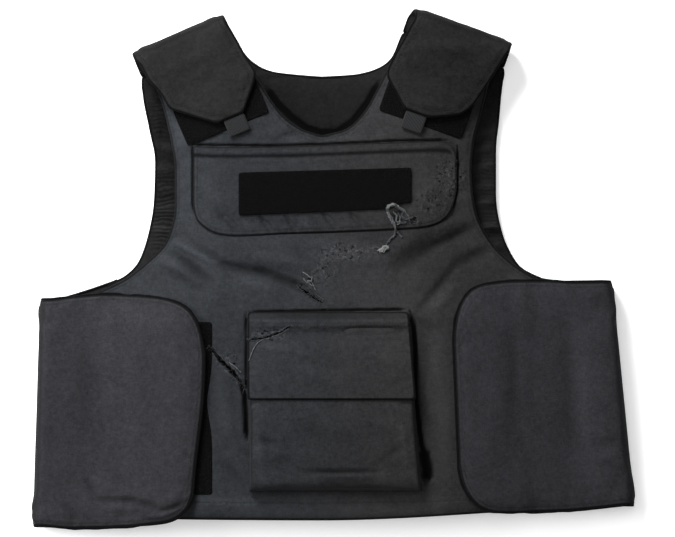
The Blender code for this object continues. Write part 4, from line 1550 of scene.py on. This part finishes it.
tapes, tabs = {}, {}
for side in STRAPS:
    rows = strap_grid(side, *SHOULDER_LOOP.values(), SEAT + TAPE, TAPE_GRIDS["shoulder"])
    tapes["shoulder_loop_" + side] = sew_tape(f"shoulder_loop_{side}_tape", with_cut(rows))
    tapes["side_loop_" + side] = sew_tape(f"side_loop_{side}_tape", with_cut(side_loop_rows(side)))
    middle, start = STRAPS[side]["tab_across"], STRAP_OUTLINE[-1].down + TAB_GAP
    across, down = (middle - TAB_WIDTH / 2, middle + TAB_WIDTH / 2), (start, start + TAB_LENGTH)
    rows = strap_grid(side, across, down, 2 * SEAT + TAPE + TAB, TAPE_GRIDS["tab"])
    tabs["pull_tab_" + side] = sew_thin(f"pull_tab_{side}_webbing", with_cut(rows), TAB, tab_webbing)[0]
tapes["id_loop_strip"] = sew_tape("id_loop_tape", flat_cut(id_strip_rows()))
print("tapes:", ", ".join(tapes))

# %% [markdown]
# ## Swelling and smoothing every sewn piece
# The padded pieces and the pouch go through the cloth simulation, and then every piece gets one
# subdivision, so that its curves are smooth from near. The tape and the flaps are thin and stay as they are
# cut.

# %% Run the simulation, then refine
swell(front)
swell(back, 1.2)
for side in WINGS:
    swell(wings[side])
    swell(straps[side], 1.0)
swell(pouch, 1.0, pressure=1.0, slack=0.010, held_within=1.0)
padded_pieces = [front, back, *wings.values(), *straps.values()]
thin_pieces = [chest_flap, pouch, pouch_flap, *tapes.values(), *tabs.values()]
for piece in padded_pieces + thin_pieces:
    refine(piece)
print("faces after the finish:", sum(len(p.data.polygons) for p in padded_pieces + thin_pieces))

# %% [markdown]
# Narrow creases come last. They are finer than the grid that the simulation moved, so they are pressed into
# the smoothed cloth. In a padded piece only the face that looks up moves; a thin flap moves as a whole. The
# height is kept as the attribute `fold`, which the cloths use for painted light on the ridges and painted
# shade in the folds. `steep` marks the rolled edges, which are darkened with painted shade.

# %% Creases
LOOKS_UP = 0.4  # the height of the normal from which a crease is pressed at full depth
BORDER_REACH = 5.0  # creases fade out this close to a padded piece's border
DEEPEST_NOTE = 3.0


def crease(piece, folds, side=None):
    """Presses a table of folds into a piece.

    `side` is 1 for the outer face, 0 for the inner one, and None for a thin piece, which moves as a whole."""
    mesh = piece.data
    places, normals = rows_of(mesh, "co") / MM, rows_of(mesh, "normal")
    moved = folds_at(folds, places[:, 0] - PLAN_SHIFT.x, places[:, 1] - PLAN_SHIFT.y)
    if side is not None:
        moved *= np.clip(normals[:, 2] / LOOKS_UP, 0.0, 1.0) * (np.abs(values_of(mesh, "outer") - side) < 0.5)
        moved *= np.clip(values_of(mesh, "edge") / BORDER_REACH, 0.0, 1.0)
    places[:, 2] += moved
    add_points(mesh, "fold", np.clip(moved, -DEEPEST_NOTE, DEEPEST_NOTE))
    add_points(mesh, "steep", 1.0 - np.abs(normals[:, 2]))
    move_points(mesh, places * MM)


crease(front, FRONT_CREASES, 1)
crease(back, GATHERS, 0)
crease(chest_flap, FLAP_CREASES)
crease(pouch, POUCH_CREASES)
crease(pouch_flap, POUCH_FLAP_CREASES)
for side in WINGS:
    crease(wings[side], WING_CREASES, 1)
    crease(straps[side], STRAP_CREASES, 1)
print("creases pressed:", len(FRONT_CREASES), "in the front")

# %% [markdown]
# ## Cuts in the cloth
# The damage runs along a diagonal, from the lower left to the upper right: a slash beside the pouch that
# goes on as a deep fold, a cut in the pouch's flap, a slit above it and a hole in the chest flap. A cut is
# a narrow groove with steep walls, so the cloth around it is first divided finer. The attribute `torn` is 2
# along a cut's middle, 1 at its lips and 0 further away.
# The cloth paints a cut's middle nearly black, as the shade inside it, and the `gap` attribute paints shadow
# along the deep folds and beside the flaps' seams.

# %% Open the cuts
CUT_COLUMNS = "half depth path"
SLASH = [(-125, -76), (-113, -91), (-101, -103), (-94, -112), (-90, -121)]
SLIT = [(-37, -16), (-25, -25), (-10, -35)]
FLAP_CUT = [(-86, -71), (-72, -69), (-64, -67), (-51, -62), (-42, -56)]
HOLE = [(77.5, 46), (81.5, 51.5)]
FRONT_CUTS = table(CUT_COLUMNS, (2.9, 5.5, SLASH), (1.6, 4.0, SLIT))
# Deep folds against the pouch's sides, and the seams where the flaps are sewn on: grooves with painted
# shadow, with whole lips
FRONT_SHADOW_GAPS = table(
    CUT_COLUMNS,
    (2.4, 4.5, [(-96, -109), (-91.5, -117), (-88.6, -127), (-88.0, -140), (-87.6, -154), (-86.6, -172)]),
    (2.6, 4.0, [(76, -42), (79.5, -58), (81, -82), (81, -112), (82, -135), (86, -165), (90, -190),
     (92, -214)]),
    (5.5, 4.5, [(88, -176), (93, -200), (92, -216)]),
    (1.5, 1.2, [(-142, 124.3), (-62, 123.2), (-4, 125.2), (63, 128.2), (114, 128.8)]),
    (1.4, 1.2, [(-141.6, 124), (-141.8, 96), (-141.6, 66), (-139.6, 54)]),
    (1.4, 1.4, [(123.5, 124), (124.2, 100), (123.2, 78), (119.8, 62), (117, 57)]),
    (1.6, 1.2, [(-85, -43), (-30, -41.5), (73, -40.2)]),
    (1.4, 1.2, [(-87.6, -42), (-87.8, -80), (-87.2, -124)]),
)
# Painted shadow on the lining, under the front's neckline
NECK_SHADE = [
    (-69, 184), (-56.5, 166), (-41.5, 151.5), (-27.5, 141.5), (-12, 136.5),
    (4, 138), (19, 148), (34, 167), (46, 189)]
BACK_SHADOW_GAPS = table(CUT_COLUMNS, (3.8, 0.8, NECK_SHADE))
POUCH_FLAP_CUTS = table(CUT_COLUMNS, (1.3, 1.3, FLAP_CUT))
CHEST_FLAP_CUTS = table(CUT_COLUMNS, (3.6, 1.8, HOLE))
CUT_STEP = 0.5  # from one point of a cut's path to the next
CUT_REACH = 8.0  # millimetres around a cut in which the cloth is divided finer
CUT_POINTS = 3  # new points on each edge there
GAP_REACH = 7.0
GAP_POINTS = 1
GAP_TAPER = 9.0  # a gap narrows and fades over this length at its ends
GAP_END = 0.2  # how wide a gap is at its ends, as a share
LIP = {"height": 0.4, "middle": 1.5, "half": 0.5}  # a cut's rolled edge, placed in half widths
SAME_SIDE = 0.2  # the least product of a point's normal and the cut's, so that the far face stays


def divide_near(piece, paths, reach, count):
    """Divides the faces within `reach` of some paths: each edge gets `count` more points."""
    tree = nearest_of(paths, CUT_STEP)
    bm = bmesh.new()
    bm.from_mesh(piece.data)
    near = {v for v in bm.verts if tree.find(v.co / MM)[2] < reach}
    edges = [e for e in bm.edges if near.issuperset(e.verts)]
    bmesh.ops.subdivide_edges(bm, edges=edges, cuts=count, use_grid_fill=True)
    bm.to_mesh(piece.data)
    bm.free()


def ragged(t):
    """Uneven width along a cut, where t runs from 0 to 1."""
    narrowing = sin(pi * min(max(t, 0.02), 0.98)) ** 0.5
    return (1.0 + 0.20 * sin(23.0 * t) + 0.13 * sin(61.0 * t + 1.3)) * narrowing


def open_cuts(piece, cuts, gaps=()):
    """Presses cuts and gaps into a piece, and returns each cut's path on it. Gaps are noted as `gap`, for
    painted shadow.
    """
    surface = surface_of(piece)
    rows = [*cuts, *gaps]
    paths = [dropped(surface, row.path, CUT_STEP) for row in rows]
    lines = [[place for place, normal in path] for path in paths]
    if cuts:
        divide_near(piece, lines[: len(cuts)], CUT_REACH, CUT_POINTS)
    if gaps:
        divide_near(piece, lines[len(cuts) :], GAP_REACH, GAP_POINTS)
    mesh = piece.data
    places, normals = rows_of(mesh, "co") / MM, rows_of(mesh, "normal")
    torn, gap = np.zeros(len(places)), np.zeros(len(places))
    for row, path, line in zip(rows, paths, lines):
        tree = tree_of(line)
        corners = np.min(line, axis=0) - CUT_REACH, np.max(line, axis=0) + CUT_REACH
        in_box = (places > corners[0]) & (places < corners[1])
        last = len(path) - 1
        for i in np.flatnonzero(in_box.all(axis=1)):
            k, away = tree.find(places[i])[1:]
            if normals[i] @ path[k][1] < SAME_SIDE:
                continue
            if row in cuts:
                t = k / last
                x = away / (row.half * ragged(t))
                lift = LIP["height"] * 2.0 ** (-(((x - LIP["middle"]) / LIP["half"]) ** 2))
                places[i] -= normals[i] * (row.depth * sin(pi * t) ** 0.4 * smooth(1.6 * (1.0 - x)) - lift)
                torn[i] = max(torn[i], 2.0 - x)
            else:
                ends = CUT_STEP * min(k, last - k) / GAP_TAPER
                x = away / (row.half * mix(GAP_END, 1.0, min(1.0, ends)))
                places[i] -= normals[i] * row.depth * smooth(1.4 - x)
                gap[i] = max(gap[i], smooth(1.9 * (1.25 - x)) * smooth(0.1 + ends))
    add_points(mesh, "torn", torn)
    add_points(mesh, "gap", gap)
    move_points(mesh, places * MM)
    return paths[: len(cuts)]


cut_paths = {
    "front": open_cuts(front, FRONT_CUTS, FRONT_SHADOW_GAPS),
    "back": open_cuts(back, [], BACK_SHADOW_GAPS),
    "pouch_flap": open_cuts(pouch_flap, POUCH_FLAP_CUTS),
    "chest_flap": open_cuts(chest_flap, CHEST_FLAP_CUTS),
}
print("front with its cuts:", len(front.data.polygons), "faces")

# %% [markdown]
# ## Rows of stitches
# A row of stitches is one short thread arch, repeated along a path at a fixed pitch. That is work for
# Geometry Nodes: the tree turns the path into a curve, samples it at the pitch, and sets an arch on each
# point, turned along the curve and upright on the cloth. One tree serves every row on the vest.

# %% Geometry Nodes in the same plain way
class Recipe(Nodes):
    """A Geometry Nodes tree with named inputs."""

    KINDS = {int: "NodeSocketInt", float: "NodeSocketFloat"}

    def __init__(self, name, **sizes):
        super().__init__(bpy.data.node_groups.new(name, "GeometryNodeTree"))
        self.inputs = {}
        self.socket("Geometry", "INPUT", "NodeSocketGeometry")
        for label, value in sizes.items():
            self.socket(label, "INPUT", self.KINDS[type(value)]).default_value = value
        self.socket("Material", "INPUT", "NodeSocketMaterial")
        self.socket("Geometry", "OUTPUT", "NodeSocketGeometry")
        self.start = self.tree.nodes.new("NodeGroupInput")
        self.end = self.tree.nodes.new("NodeGroupOutput")

    def socket(self, label, way, kind):
        made = self.tree.interface.new_socket(label, in_out=way, socket_type=kind)
        if way == "INPUT":
            self.inputs[label] = made.identifier
        return made

    def given(self, label):
        return Term(self, self.start.outputs[label])

    def point(self, x, z, y=0.0):
        return self.add("ShaderNodeCombineXYZ", {}, {"X": x, "Y": y, "Z": z}).out()

    def line(self, pitch):
        """The drawn path as a curve, with a point at every `pitch`."""
        curve = self.add("GeometryNodeMeshToCurve", {}, {"Mesh": self.given("Geometry")}).out()
        inputs = {"Curve": curve, "Length": pitch}
        return self.add("GeometryNodeResampleCurve", {"mode": "LENGTH"}, inputs).out()

    def moved(self, points, shift):
        return self.add("GeometryNodeSetPosition", {}, {"Geometry": points, "Offset": shift}).out()

    def arch(self, start, middle, end):
        """A short curve, from three pairs of x and z."""
        places = {"Start": self.point(*start), "Middle": self.point(*middle), "End": self.point(*end)}
        return self.add("GeometryNodeCurveQuadraticBezier", {}, {"Resolution": 4, **places}).out()

    def tube(self, curve, sides):
        """A closed tube along a curve."""
        inputs = {"Resolution": sides, "Radius": self.given("Radius")}
        ring = self.add("GeometryNodeCurvePrimitiveCircle", {}, inputs).out()
        inputs = {"Curve": curve, "Profile Curve": ring, "Fill Caps": True}
        return self.add("GeometryNodeCurveToMesh", {}, inputs).out()

    def random(self, low, high, seed):
        """A random number for each point, or a random vector where the limits are vectors."""
        kind, first, out = ("FLOAT_VECTOR", 0, 0) if isinstance(low, tuple) else ("FLOAT", 2, 1)
        inputs = {first: low, first + 1: high, 8: seed}
        return self.add("FunctionNodeRandomValue", {"data_type": kind}, inputs).out(out)

    def repeated(self, points, piece, turn, size=1.0):
        """A small piece on every point."""
        inputs = {"Points": points, "Instance": piece, "Rotation": turn, "Scale": size}
        return self.add("GeometryNodeInstanceOnPoints", {}, inputs).out()

    def finish(self, made):
        """Realizes the instances and gives them the material."""
        real = self.add("GeometryNodeRealizeInstances", {}, {"Geometry": made}).out()
        even = self.add("GeometryNodeSetShadeSmooth", {}, {"Geometry": real}).out()
        inputs = {"Geometry": even, "Material": self.given("Material")}
        self.feed(self.end.inputs[0], self.add("GeometryNodeSetMaterial", {}, inputs).out())


def grown(name, source, recipe, material, **sizes):
    """Runs a recipe on a mesh and keeps the result as a plain mesh at the origin."""
    carrier = placed(name + "_source", source)
    modifier = carrier.modifiers.new(name, "NODES")
    modifier.node_group = recipe.tree
    for label, value in {**sizes, "Material": material}.items():
        modifier[recipe.inputs[label]] = value
    mesh = bpy.data.meshes.new_from_object(as_seen(carrier))
    bpy.data.objects.remove(carrier)
    return placed(name, mesh)


def drawn(name, paths):
    """A mesh of edges along paths of (place, normal) pairs, with the normal kept as `up`."""
    places, edges, ups = [], [], []
    for path in paths:
        first = len(places)
        places += [place * MM for place, normal in path]
        ups += [c for place, normal in path for c in normal]
        edges += [(first + i, first + i + 1) for i in range(len(path) - 1)]
    mesh = bpy.data.meshes.new(name)
    mesh.from_pydata(places, edges, [])
    mesh.attributes.new("up", "FLOAT_VECTOR", "POINT").data.foreach_set("vector", ups)
    return mesh


# %% The recipe for stitches
def along_path(recipe):
    """A rotation that turns X along the curve and Z to `up`, for each point."""
    tangent = recipe.add("GeometryNodeInputTangent").out()
    up = recipe.add("GeometryNodeInputNamedAttribute", {"data_type": "FLOAT_VECTOR"}, {"Name": "up"}).out()
    first = recipe.add("FunctionNodeAlignRotationToVector", {"axis": "X"}, {"Vector": tangent}).out()
    settings = {"axis": "Z", "pivot_axis": "X"}
    return recipe.add("FunctionNodeAlignRotationToVector", settings, {"Rotation": first, "Vector": up}).out()


def stitch_recipe():
    recipe = Recipe("rows_of_stitches", Pitch=0.003, Length=0.0022, Radius=0.0002)
    half = recipe.given("Length") * 0.5
    low, high = recipe.given("Radius") * -1.6, recipe.given("Radius") * 2.6
    stitch = recipe.tube(recipe.arch((half * -1.0, low), (0.0, high), (half, low)), 5)
    recipe.finish(recipe.repeated(recipe.line(recipe.given("Pitch")), stitch, along_path(recipe)))
    return recipe


stitches = stitch_recipe()
print("recipe:", stitches.tree.name, "inputs", list(stitches.inputs))

# %% [markdown]
# Every sewn edge of the carrier has a row of stitches a few millimetres in. The hem has a second row higher
# up, and the pouch's flap is sewn on with two. The rows are pressed into the cloth first, and the threads
# are laid in the grooves.

# %% Seams of each piece
EDGE_ROWS = {"panel": 5.5, "wing": 4.0, "flap": 4.5}  # a single row runs this far inside an edge
HEM_ROW = 3.0
HEM_LINE = [(-262, -231), (-180, -232), (-90, -233), (-12, -233.5), (90, -232), (180, -229), (256, -226)]
POUCH_FLAP_ROWS = [[(-84, -53.5), (75, -53.5)], [(-84, -58.5), (75, -58.5)]]
POUCH_SIDE_ROWS = [[(-81, -140), (-81, -216)], [(77, -140), (84, -216)]]


def pressed_rows(piece, borders=(), distance=0.0, drawn_paths=(), depth=0.7, half_width=2.2):
    """Presses rows of stitches into a piece and returns their final paths on it.

    They run at a distance inside its borders, or as paths that are drawn on the plan."""
    rows = [stretch for border in borders for stretch in inset(border, distance)]
    surface = surface_of(piece)
    paths = [laid_on(surface, row) for row in rows] + [dropped(surface, path) for path in drawn_paths]
    paths = [path for path in paths if len(path) > 1]
    press_seams(piece, paths, depth, half_width)
    surface = surface_of(piece)
    return [laid_on(surface, path) for path in paths]


rows_of_thread = []
rows_of_thread += pressed_rows(front, front_borders, HEM_ROW, [HEM_LINE])
rows_of_thread += pressed_rows(back, back_borders, EDGE_ROWS["panel"])
for side in WINGS:
    rows_of_thread += pressed_rows(wings[side], wing_borders[side], EDGE_ROWS["wing"], depth=0.5)
    rows_of_thread += pressed_rows(straps[side], strap_borders[side], EDGE_ROWS["panel"])
rows_of_thread += pressed_rows(chest_flap, chest_borders, EDGE_ROWS["flap"], depth=0.35, half_width=1.6)
rows_of_thread += pressed_rows(pouch_flap, drawn_paths=POUCH_FLAP_ROWS, depth=0.5, half_width=1.6)
rows_of_thread += pressed_rows(pouch, drawn_paths=POUCH_SIDE_ROWS, depth=0.3)
stitch_piece = grown("stitches", drawn("stitch_rows", rows_of_thread), stitches, thread)
print("stitches:", len(stitch_piece.data.polygons), "faces")

# %% [markdown]
# ## Corded edges of the wings
# The wings' free edges are bound with a cord in a strip of bias cloth. It follows one path, so it is a
# recipe too: the path becomes a curve, and a circle is drawn along it.

# %% Corded edges
PIPING_GAP = 0.1  # between the cord and the wing's edge


def cord_recipe():
    recipe = Recipe("corded_edge", Radius=0.0015, Step=0.002, Sides=10)
    along = recipe.add("GeometryNodeSplineParameter").out("Length")
    cut = recipe.point(0.0, 0.0, along)
    inputs = {"Geometry": recipe.line(recipe.given("Step")), "Name": "weave", "Value": cut}
    kept = recipe.add("GeometryNodeStoreNamedAttribute", {"data_type": "FLOAT_VECTOR"}, inputs).out()
    recipe.finish(recipe.tube(kept, recipe.given("Sides")))
    return recipe


def piping_path(side):
    """All along a wing's free edges: its top from the seam, its end and its bottom."""
    stations = wing_stations(side)
    top = [row[-1] for row in stations]
    end = list(reversed(stations[-1][1:-1]))
    bottom = [row[0] for row in reversed(stations)]
    path = [Vector(p) + PLAN_SHIFT for p in top + end + bottom]
    surface = surface_of(wings[side])
    centre = sum(path, Vector()) / len(path)
    laid = []
    for i, p in enumerate(path):
        run = path[min(i + 1, len(path) - 1)] - path[max(i - 1, 0)]
        facing = surface.find_nearest(p)[1]
        away = run.cross(facing).normalized()
        if away.dot(p - centre) < 0:
            away = -away
        laid.append((p - facing * WING / 2 + away * (PIPING / 2 + PIPING_GAP), facing))
    return laid


corded_edge = cord_recipe()
pipings = {}
for side in WINGS:
    path = drawn("piping_path_" + side, [piping_path(side)])
    pipings[side] = grown(f"wing_piping_{side}_cord", path, corded_edge, piping_cloth)
    print(pipings[side].name, len(pipings[side].data.polygons), "faces")

# %% [markdown]
# ## Frayed yarn
# Along a cut, the broken threads stand up as short fibres, and the filling has come out as loose strands.
# Both repeat a thin tube, so they are recipes: one sets fibres along a path with random turns from a fixed
# seed, the other makes a bundle of strands from one path, each strand wandering by its own noise.

# %% Recipes for fibres and strands
def fray_recipe():
    recipe = Recipe("frayed_lip", Pitch=0.0006, Length=0.003, Radius=0.00011, Jitter=0.0008, Seed=3)
    seed, length = recipe.given("Seed"), recipe.given("Length")
    shift = recipe.random((-1, -1, -0.4), (1, 1, 0.4), seed) * recipe.given("Jitter")
    loose = recipe.moved(recipe.line(recipe.given("Pitch")), shift)
    start, middle, end = [(length * a, length * b) for a, b in ((0.0, -0.1), (0.1, 0.7), (0.8, 0.9))]
    fibre = recipe.tube(recipe.arch(start, middle, end), 4)
    angles = recipe.random((-1.0, -1.0, -pi), (1.0, 1.0, pi), seed + 1)
    turn = recipe.add("FunctionNodeEulerToRotation", {}, {0: angles}).out()
    inputs = {"Rotation": along_path(recipe), "Rotate By": turn}
    turned = recipe.add("FunctionNodeRotateRotation", {"rotation_space": "LOCAL"}, inputs).out()
    recipe.finish(recipe.repeated(loose, fibre, turned, recipe.random(0.35, 1.3, seed + 2)))
    return recipe


def bundle_recipe():
    recipe = Recipe("yarn_bundle", Step=0.0009, Strands=7, Spread=0.0012, Radius=0.0002, Waves=260.0, Seed=5)
    inputs = {"Geometry": recipe.line(recipe.given("Step")), "Amount": recipe.given("Strands")}
    copies = recipe.add("GeometryNodeDuplicateElements", {"domain": "SPLINE"}, inputs)
    strand = copies.out("Duplicate Index")
    place = recipe.add("GeometryNodeInputPosition").out()
    apart = recipe.point(strand * 0.173, recipe.given("Seed"), strand * 0.091)
    inputs = {"Vector": place + apart, "Scale": recipe.given("Waves"), "Detail": 2.0}
    wander = recipe.add("ShaderNodeTexNoise", {}, inputs).out("Color") - (0.5, 0.5, 0.5)
    loose = recipe.moved(copies.out(0), wander * (recipe.given("Spread") * 3.2))
    recipe.finish(recipe.tube(loose, 5))
    return recipe


frayed_lip, yarn_bundle = fray_recipe(), bundle_recipe()
print("recipes:", frayed_lip.tree.name, yarn_bundle.tree.name)

# %% [markdown]
# The strands' paths are drawn on the plan with a height above the cloth. The largest is an arch of grey
# filling that hangs over the chest flap's edge and ends in a pale tuft.

# %% Loose strands
STRAND_COLUMNS = "strands spread radius yarn path"
STRANDS = table(
    STRAND_COLUMNS,
    (14, 2.2, 0.27, "grey", [(71, 57, 0.6), (64, 62, 2.6), (59, 64.2, 4.2), (54.5, 63, 4.6), (53, 60, 4.6),
     (54.5, 56, 4.0), (57, 51, 3.4), (59, 46, 2.8)]),
    (10, 2.0, 0.26, "grey", [(68, 59.5, 2.4), (60, 64.6, 4.6), (54.5, 63.4, 5.2), (52.8, 60, 5.0),
     (54.2, 55, 4.4), (57.5, 49, 3.6)]),
    (8, 1.7, 0.24, "pale", [(64, 62.5, 4.0), (59, 64.6, 5.4), (55, 63, 5.8), (53.4, 60, 5.4),
     (54.6, 56, 4.8)]),
    (9, 1.9, 0.23, "dark", [(57, 51, 3.2), (59.5, 45, 2.8), (61, 40, 2.0), (61.5, 36, 1.4)]),
    (6, 1.3, 0.22, "grey", [(58, 50, 3.6), (60.5, 44, 3.0), (61.5, 40, 2.2)]),
    (8, 1.7, 0.24, "dark", [(61.5, 38, 1.4), (60, 33, 1.2), (57, 31, 1.0), (54.5, 27, 0.8)]),
    (7, 1.6, 0.24, "dark", [(61.5, 39, 1.4), (64, 36.5, 1.2), (67.5, 32, 0.8)]),
    (6, 1.3, 0.22, "grey", [(59, 57, 3.0), (62.5, 54, 2.4), (63, 51, 2.0), (61.8, 48.5, 1.8),
     (63.5, 46.5, 1.4), (66.5, 47.5, 1.2), (66, 45, 1.0), (62.5, 44.5, 0.9)]),
    (7, 1.8, 0.20, "dark", [(64, 56, 1.4), (66.5, 51, 1.2), (65, 47.5, 1.0), (69, 45.5, 0.9), (72, 47, 0.8)]),
    (7, 1.8, 0.20, "dark", [(70, 57.5, 0.9), (67, 53.5, 0.9), (71, 50, 0.8), (75, 50, 0.8), (78.5, 52, 0.7)]),
    (6, 1.6, 0.20, "dark", [(69, 58.5, 0.9), (72.5, 55, 0.9), (75, 51.5, 0.8), (76, 47.5, 0.7)]),
    (3, 0.8, 0.16, "dark", [(54, 28, 0.7), (52.5, 24, 0.7), (51, 21, 0.9)]),
    (14, 2.6, 0.26, "pale", [(45.2, 18.6, 0.9), (48, 21, 1.8), (52, 22.4, 2.2), (54, 21, 1.6),
     (51, 18.8, 1.8), (47, 17.6, 1.4), (46, 19.4, 1.8), (50, 20.6, 2.6), (53, 21.6, 1.6)]),
    (3, 1.4, 0.14, "dark", [(46, 20, 0.8), (42, 22.5, 0.6), (38.5, 23.5, 0.4)]),
    (4, 1.2, 0.20, "grey", [(-31.5, -3, 0.8), (-27, -5.5, 1.6), (-23.5, -8.5, 2.0), (-21.5, -7.5, 1.8),
     (-22.5, -12, 2.0), (-26.5, -11.5, 1.6), (-24, -15, 1.4), (-19.5, -17, 0.9)]),
    (3, 1.3, 0.18, "grey", [(-30, -9, 0.6), (-27.5, -14, 1.2), (-23.5, -12.5, 1.6), (-21, -16, 1.0),
     (-18, -21, 0.8)]),
    (3, 1.0, 0.16, "dark", [(-18, -25, 0.6), (-14, -28, 1.0), (-10.5, -30.5, 0.8), (-12, -33, 0.6)]),
    (3, 1.1, 0.17, "grey", [(-105, -93, 0.6), (-100, -96.5, 1.2), (-95.5, -100, 1.4), (-93, -103, 0.8)]),
    (3, 1.0, 0.16, "dark", [(-116, -84, 0.5), (-110, -90, 1.0), (-104, -97, 0.8)]),
    (4, 0.7, 0.18, "grey", [(-84.5, -91, 0.5), (-82, -84, 0.8), (-79, -77, 0.9), (-75, -72.5, 0.8),
     (-70, -69.5, 0.6)]),
    (2, 0.9, 0.15, "dark", [(-66, -66, 0.6), (-60, -63, 0.9), (-54, -62, 0.7), (-48, -58, 0.5)]),
)
YARNS = {"grey": grey_yarn, "pale": white_yarn, "dark": dark_yarn}


def raised(surfaces, path, step=1.0):
    """A path of (x, y, height above the cloth), laid over the topmost surface, as (place, normal) pairs."""
    laid = []
    for point in sampled([Vector(p) for p in path], step):
        start = Vector((point.x, point.y, ABOVE)) + PLAN_SHIFT
        hits = [surface.ray_cast(start, Vector((0, 0, -1)))[:2] for surface in surfaces]
        place, normal = max((hit for hit in hits if hit[0] is not None), key=lambda hit: hit[0].z)
        laid.append((place + Vector((0, 0, point.z)), normal))
    return laid


damaged = [surface_of(piece) for piece in (front, chest_flap, pouch_flap, tapes["id_loop_strip"])]
strand_pieces = []
for number, row in enumerate(STRANDS):
    source = drawn("strand_path", [raised(damaged, row.path)])
    sizes = {"Strands": row.strands, "Spread": row.spread * MM, "Radius": row.radius * MM, "Seed": number + 5}
    strand_pieces.append(grown(f"strands_{number:02d}", source, yarn_bundle, YARNS[row.yarn], **sizes))
print("strands:", sum(len(p.data.polygons) for p in strand_pieces), "faces in", len(strand_pieces), "bundles")

# %% Fibres along the cuts
FRAYS = table(
    "piece cuts pitch length seed",
    ("front", FRONT_CUTS, 0.9, 3.2, 3),
    ("pouch_flap", POUCH_FLAP_CUTS, 0.8, 2.2, 11),
    ("chest_flap", CHEST_FLAP_CUTS, 0.7, 2.6, 17),
)


def lips_of(path, away):
    """The two lips of a cut, `away` from its middle."""
    lips = ([], [])
    for k, (place, normal) in enumerate(path):
        run = path[min(k + 1, len(path) - 1)][0] - path[max(k - 1, 0)][0]
        side = run.cross(normal).normalized() * away * ragged(k / (len(path) - 1))
        lips[0].append((place + side, normal))
        lips[1].append((place - side, normal))
    return lips


fray_pieces = []
for row in FRAYS:
    cuts = zip(row.cuts, cut_paths[row.piece])
    source = drawn("cut_lips", [lip for cut, path in cuts for lip in lips_of(path, cut.half)])
    sizes = {"Pitch": row.pitch * MM, "Length": row.length * MM, "Seed": row.seed}
    fray_pieces.append(grown("frays_" + row.piece, source, frayed_lip, dark_yarn, **sizes))
print("fibres:", sum(len(piece.data.polygons) for piece in fray_pieces), "faces")

# %% [markdown]
# ## The pile of the loop tape
# Thousands of small loops of yarn stand on loop tape, and the hooks of the other half catch in them. They
# are set at random, no closer than a given distance, and only where nothing covers the tape. Each loop is
# an arch of a few faces.

# %% Loops on the bare tape
def pile_recipe():
    recipe = Recipe("loop_pile", Spacing=0.00125, Height=0.0008, Radius=0.00012, Seed=1)
    inputs = {
        "Mesh": recipe.given("Geometry"),
        "Distance Min": recipe.given("Spacing"),
        "Density Max": 900000.0,
        "Seed": recipe.given("Seed"),
    }
    spots = recipe.add("GeometryNodeDistributePointsOnFaces", {"distribute_method": "POISSON"}, inputs).out()
    foot, peak = recipe.given("Height") * 0.7, recipe.given("Height") * 2.0
    loop = recipe.tube(recipe.arch((foot * -1.0, 0.0), (0.0, peak), (foot, 0.0)), 3)
    turn = recipe.random((-0.4, -0.4, 0.0), (0.4, 0.4, 2 * pi), 3)
    size = recipe.random((0.7, 0.7, 0.6), (1.2, 1.2, 1.2), 4)
    recipe.finish(recipe.repeated(spots, loop, turn, size))
    return recipe


PILE_UP = 0.6  # loops stand where the normal's height is more than this
PILE_ROOM = 0.5  # what lies closer over a face than this, in millimetres, doesn't cover it


def bare_faces(piece, covers):
    """A mesh of the faces that look up and have nothing above them."""
    bare = []
    for face in piece.data.polygons:
        start = face.center / MM + Vector((0, 0, PILE_ROOM))
        covered = any(cover.ray_cast(start, Vector((0, 0, 1)))[0] is not None for cover in covers)
        if face.normal.z > PILE_UP and not covered:
            bare.append(tuple(face.vertices))
    mesh = bpy.data.meshes.new("bare_tape")
    mesh.from_pydata([v.co for v in piece.data.vertices], [], bare)
    return mesh


loop_pile = pile_recipe()
covers = [surface_of(piece) for piece in (*wings.values(), *straps.values(), *tabs.values())]
pile_pieces = []
for number, (node, tape) in enumerate(tapes.items()):
    if node != "side_loop_right":  # the right wing covers this one
        bare = bare_faces(tape, covers)
        pile_pieces.append(grown(node + "_pile", bare, loop_pile, pile_yarn, Seed=number + 20))
print("pile:", sum(len(piece.data.polygons) for piece in pile_pieces), "faces")

# %% [markdown]
# ## Each piece takes its place in the frame
# Every piece rides on the vest's one body and stands for the solid that it dresses, which is hidden.

# %% Dress the frame
SLOTS = {
    "front_panel": (front, "carrier_cloth"),
    "back_panel": (back, "back_cloth"),
    "chest_flap": (chest_flap, "carrier_cloth"),
    "pouch_body": (pouch, "carrier_cloth"),
    "pouch_flap": (pouch_flap, "carrier_cloth"),
}
for side in WINGS:
    SLOTS["wing_" + side] = (wings[side], "wing_cloth")
    SLOTS["shoulder_strap_" + side] = (straps[side], "strap_cloth")
    SLOTS["wing_piping_" + side] = (pipings[side], "piping_cloth")
for node, tape in tapes.items():
    SLOTS[node] = (tape, "loop_tape")
for node, tab in tabs.items():
    SLOTS[node] = (tab, "tab_webbing")
for node, (piece, slot) in SLOTS.items():
    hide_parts(node)
    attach(piece, "root")
for piece in [stitch_piece, *strand_pieces, *fray_pieces]:
    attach(piece, "root")
for piece in pile_pieces:
    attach(piece, "root")
# The sizes that the cloth was cut to, in millimetres
for side, tape in SIDE_LOOPS.items():
    size = (abs(tape["inner_x"] - tape["outer_x"]) * MM, (tape["top"] - tape["bottom"]) * MM)
    size = [(end - start) * MM for start, end in SHOULDER_LOOP.values()]
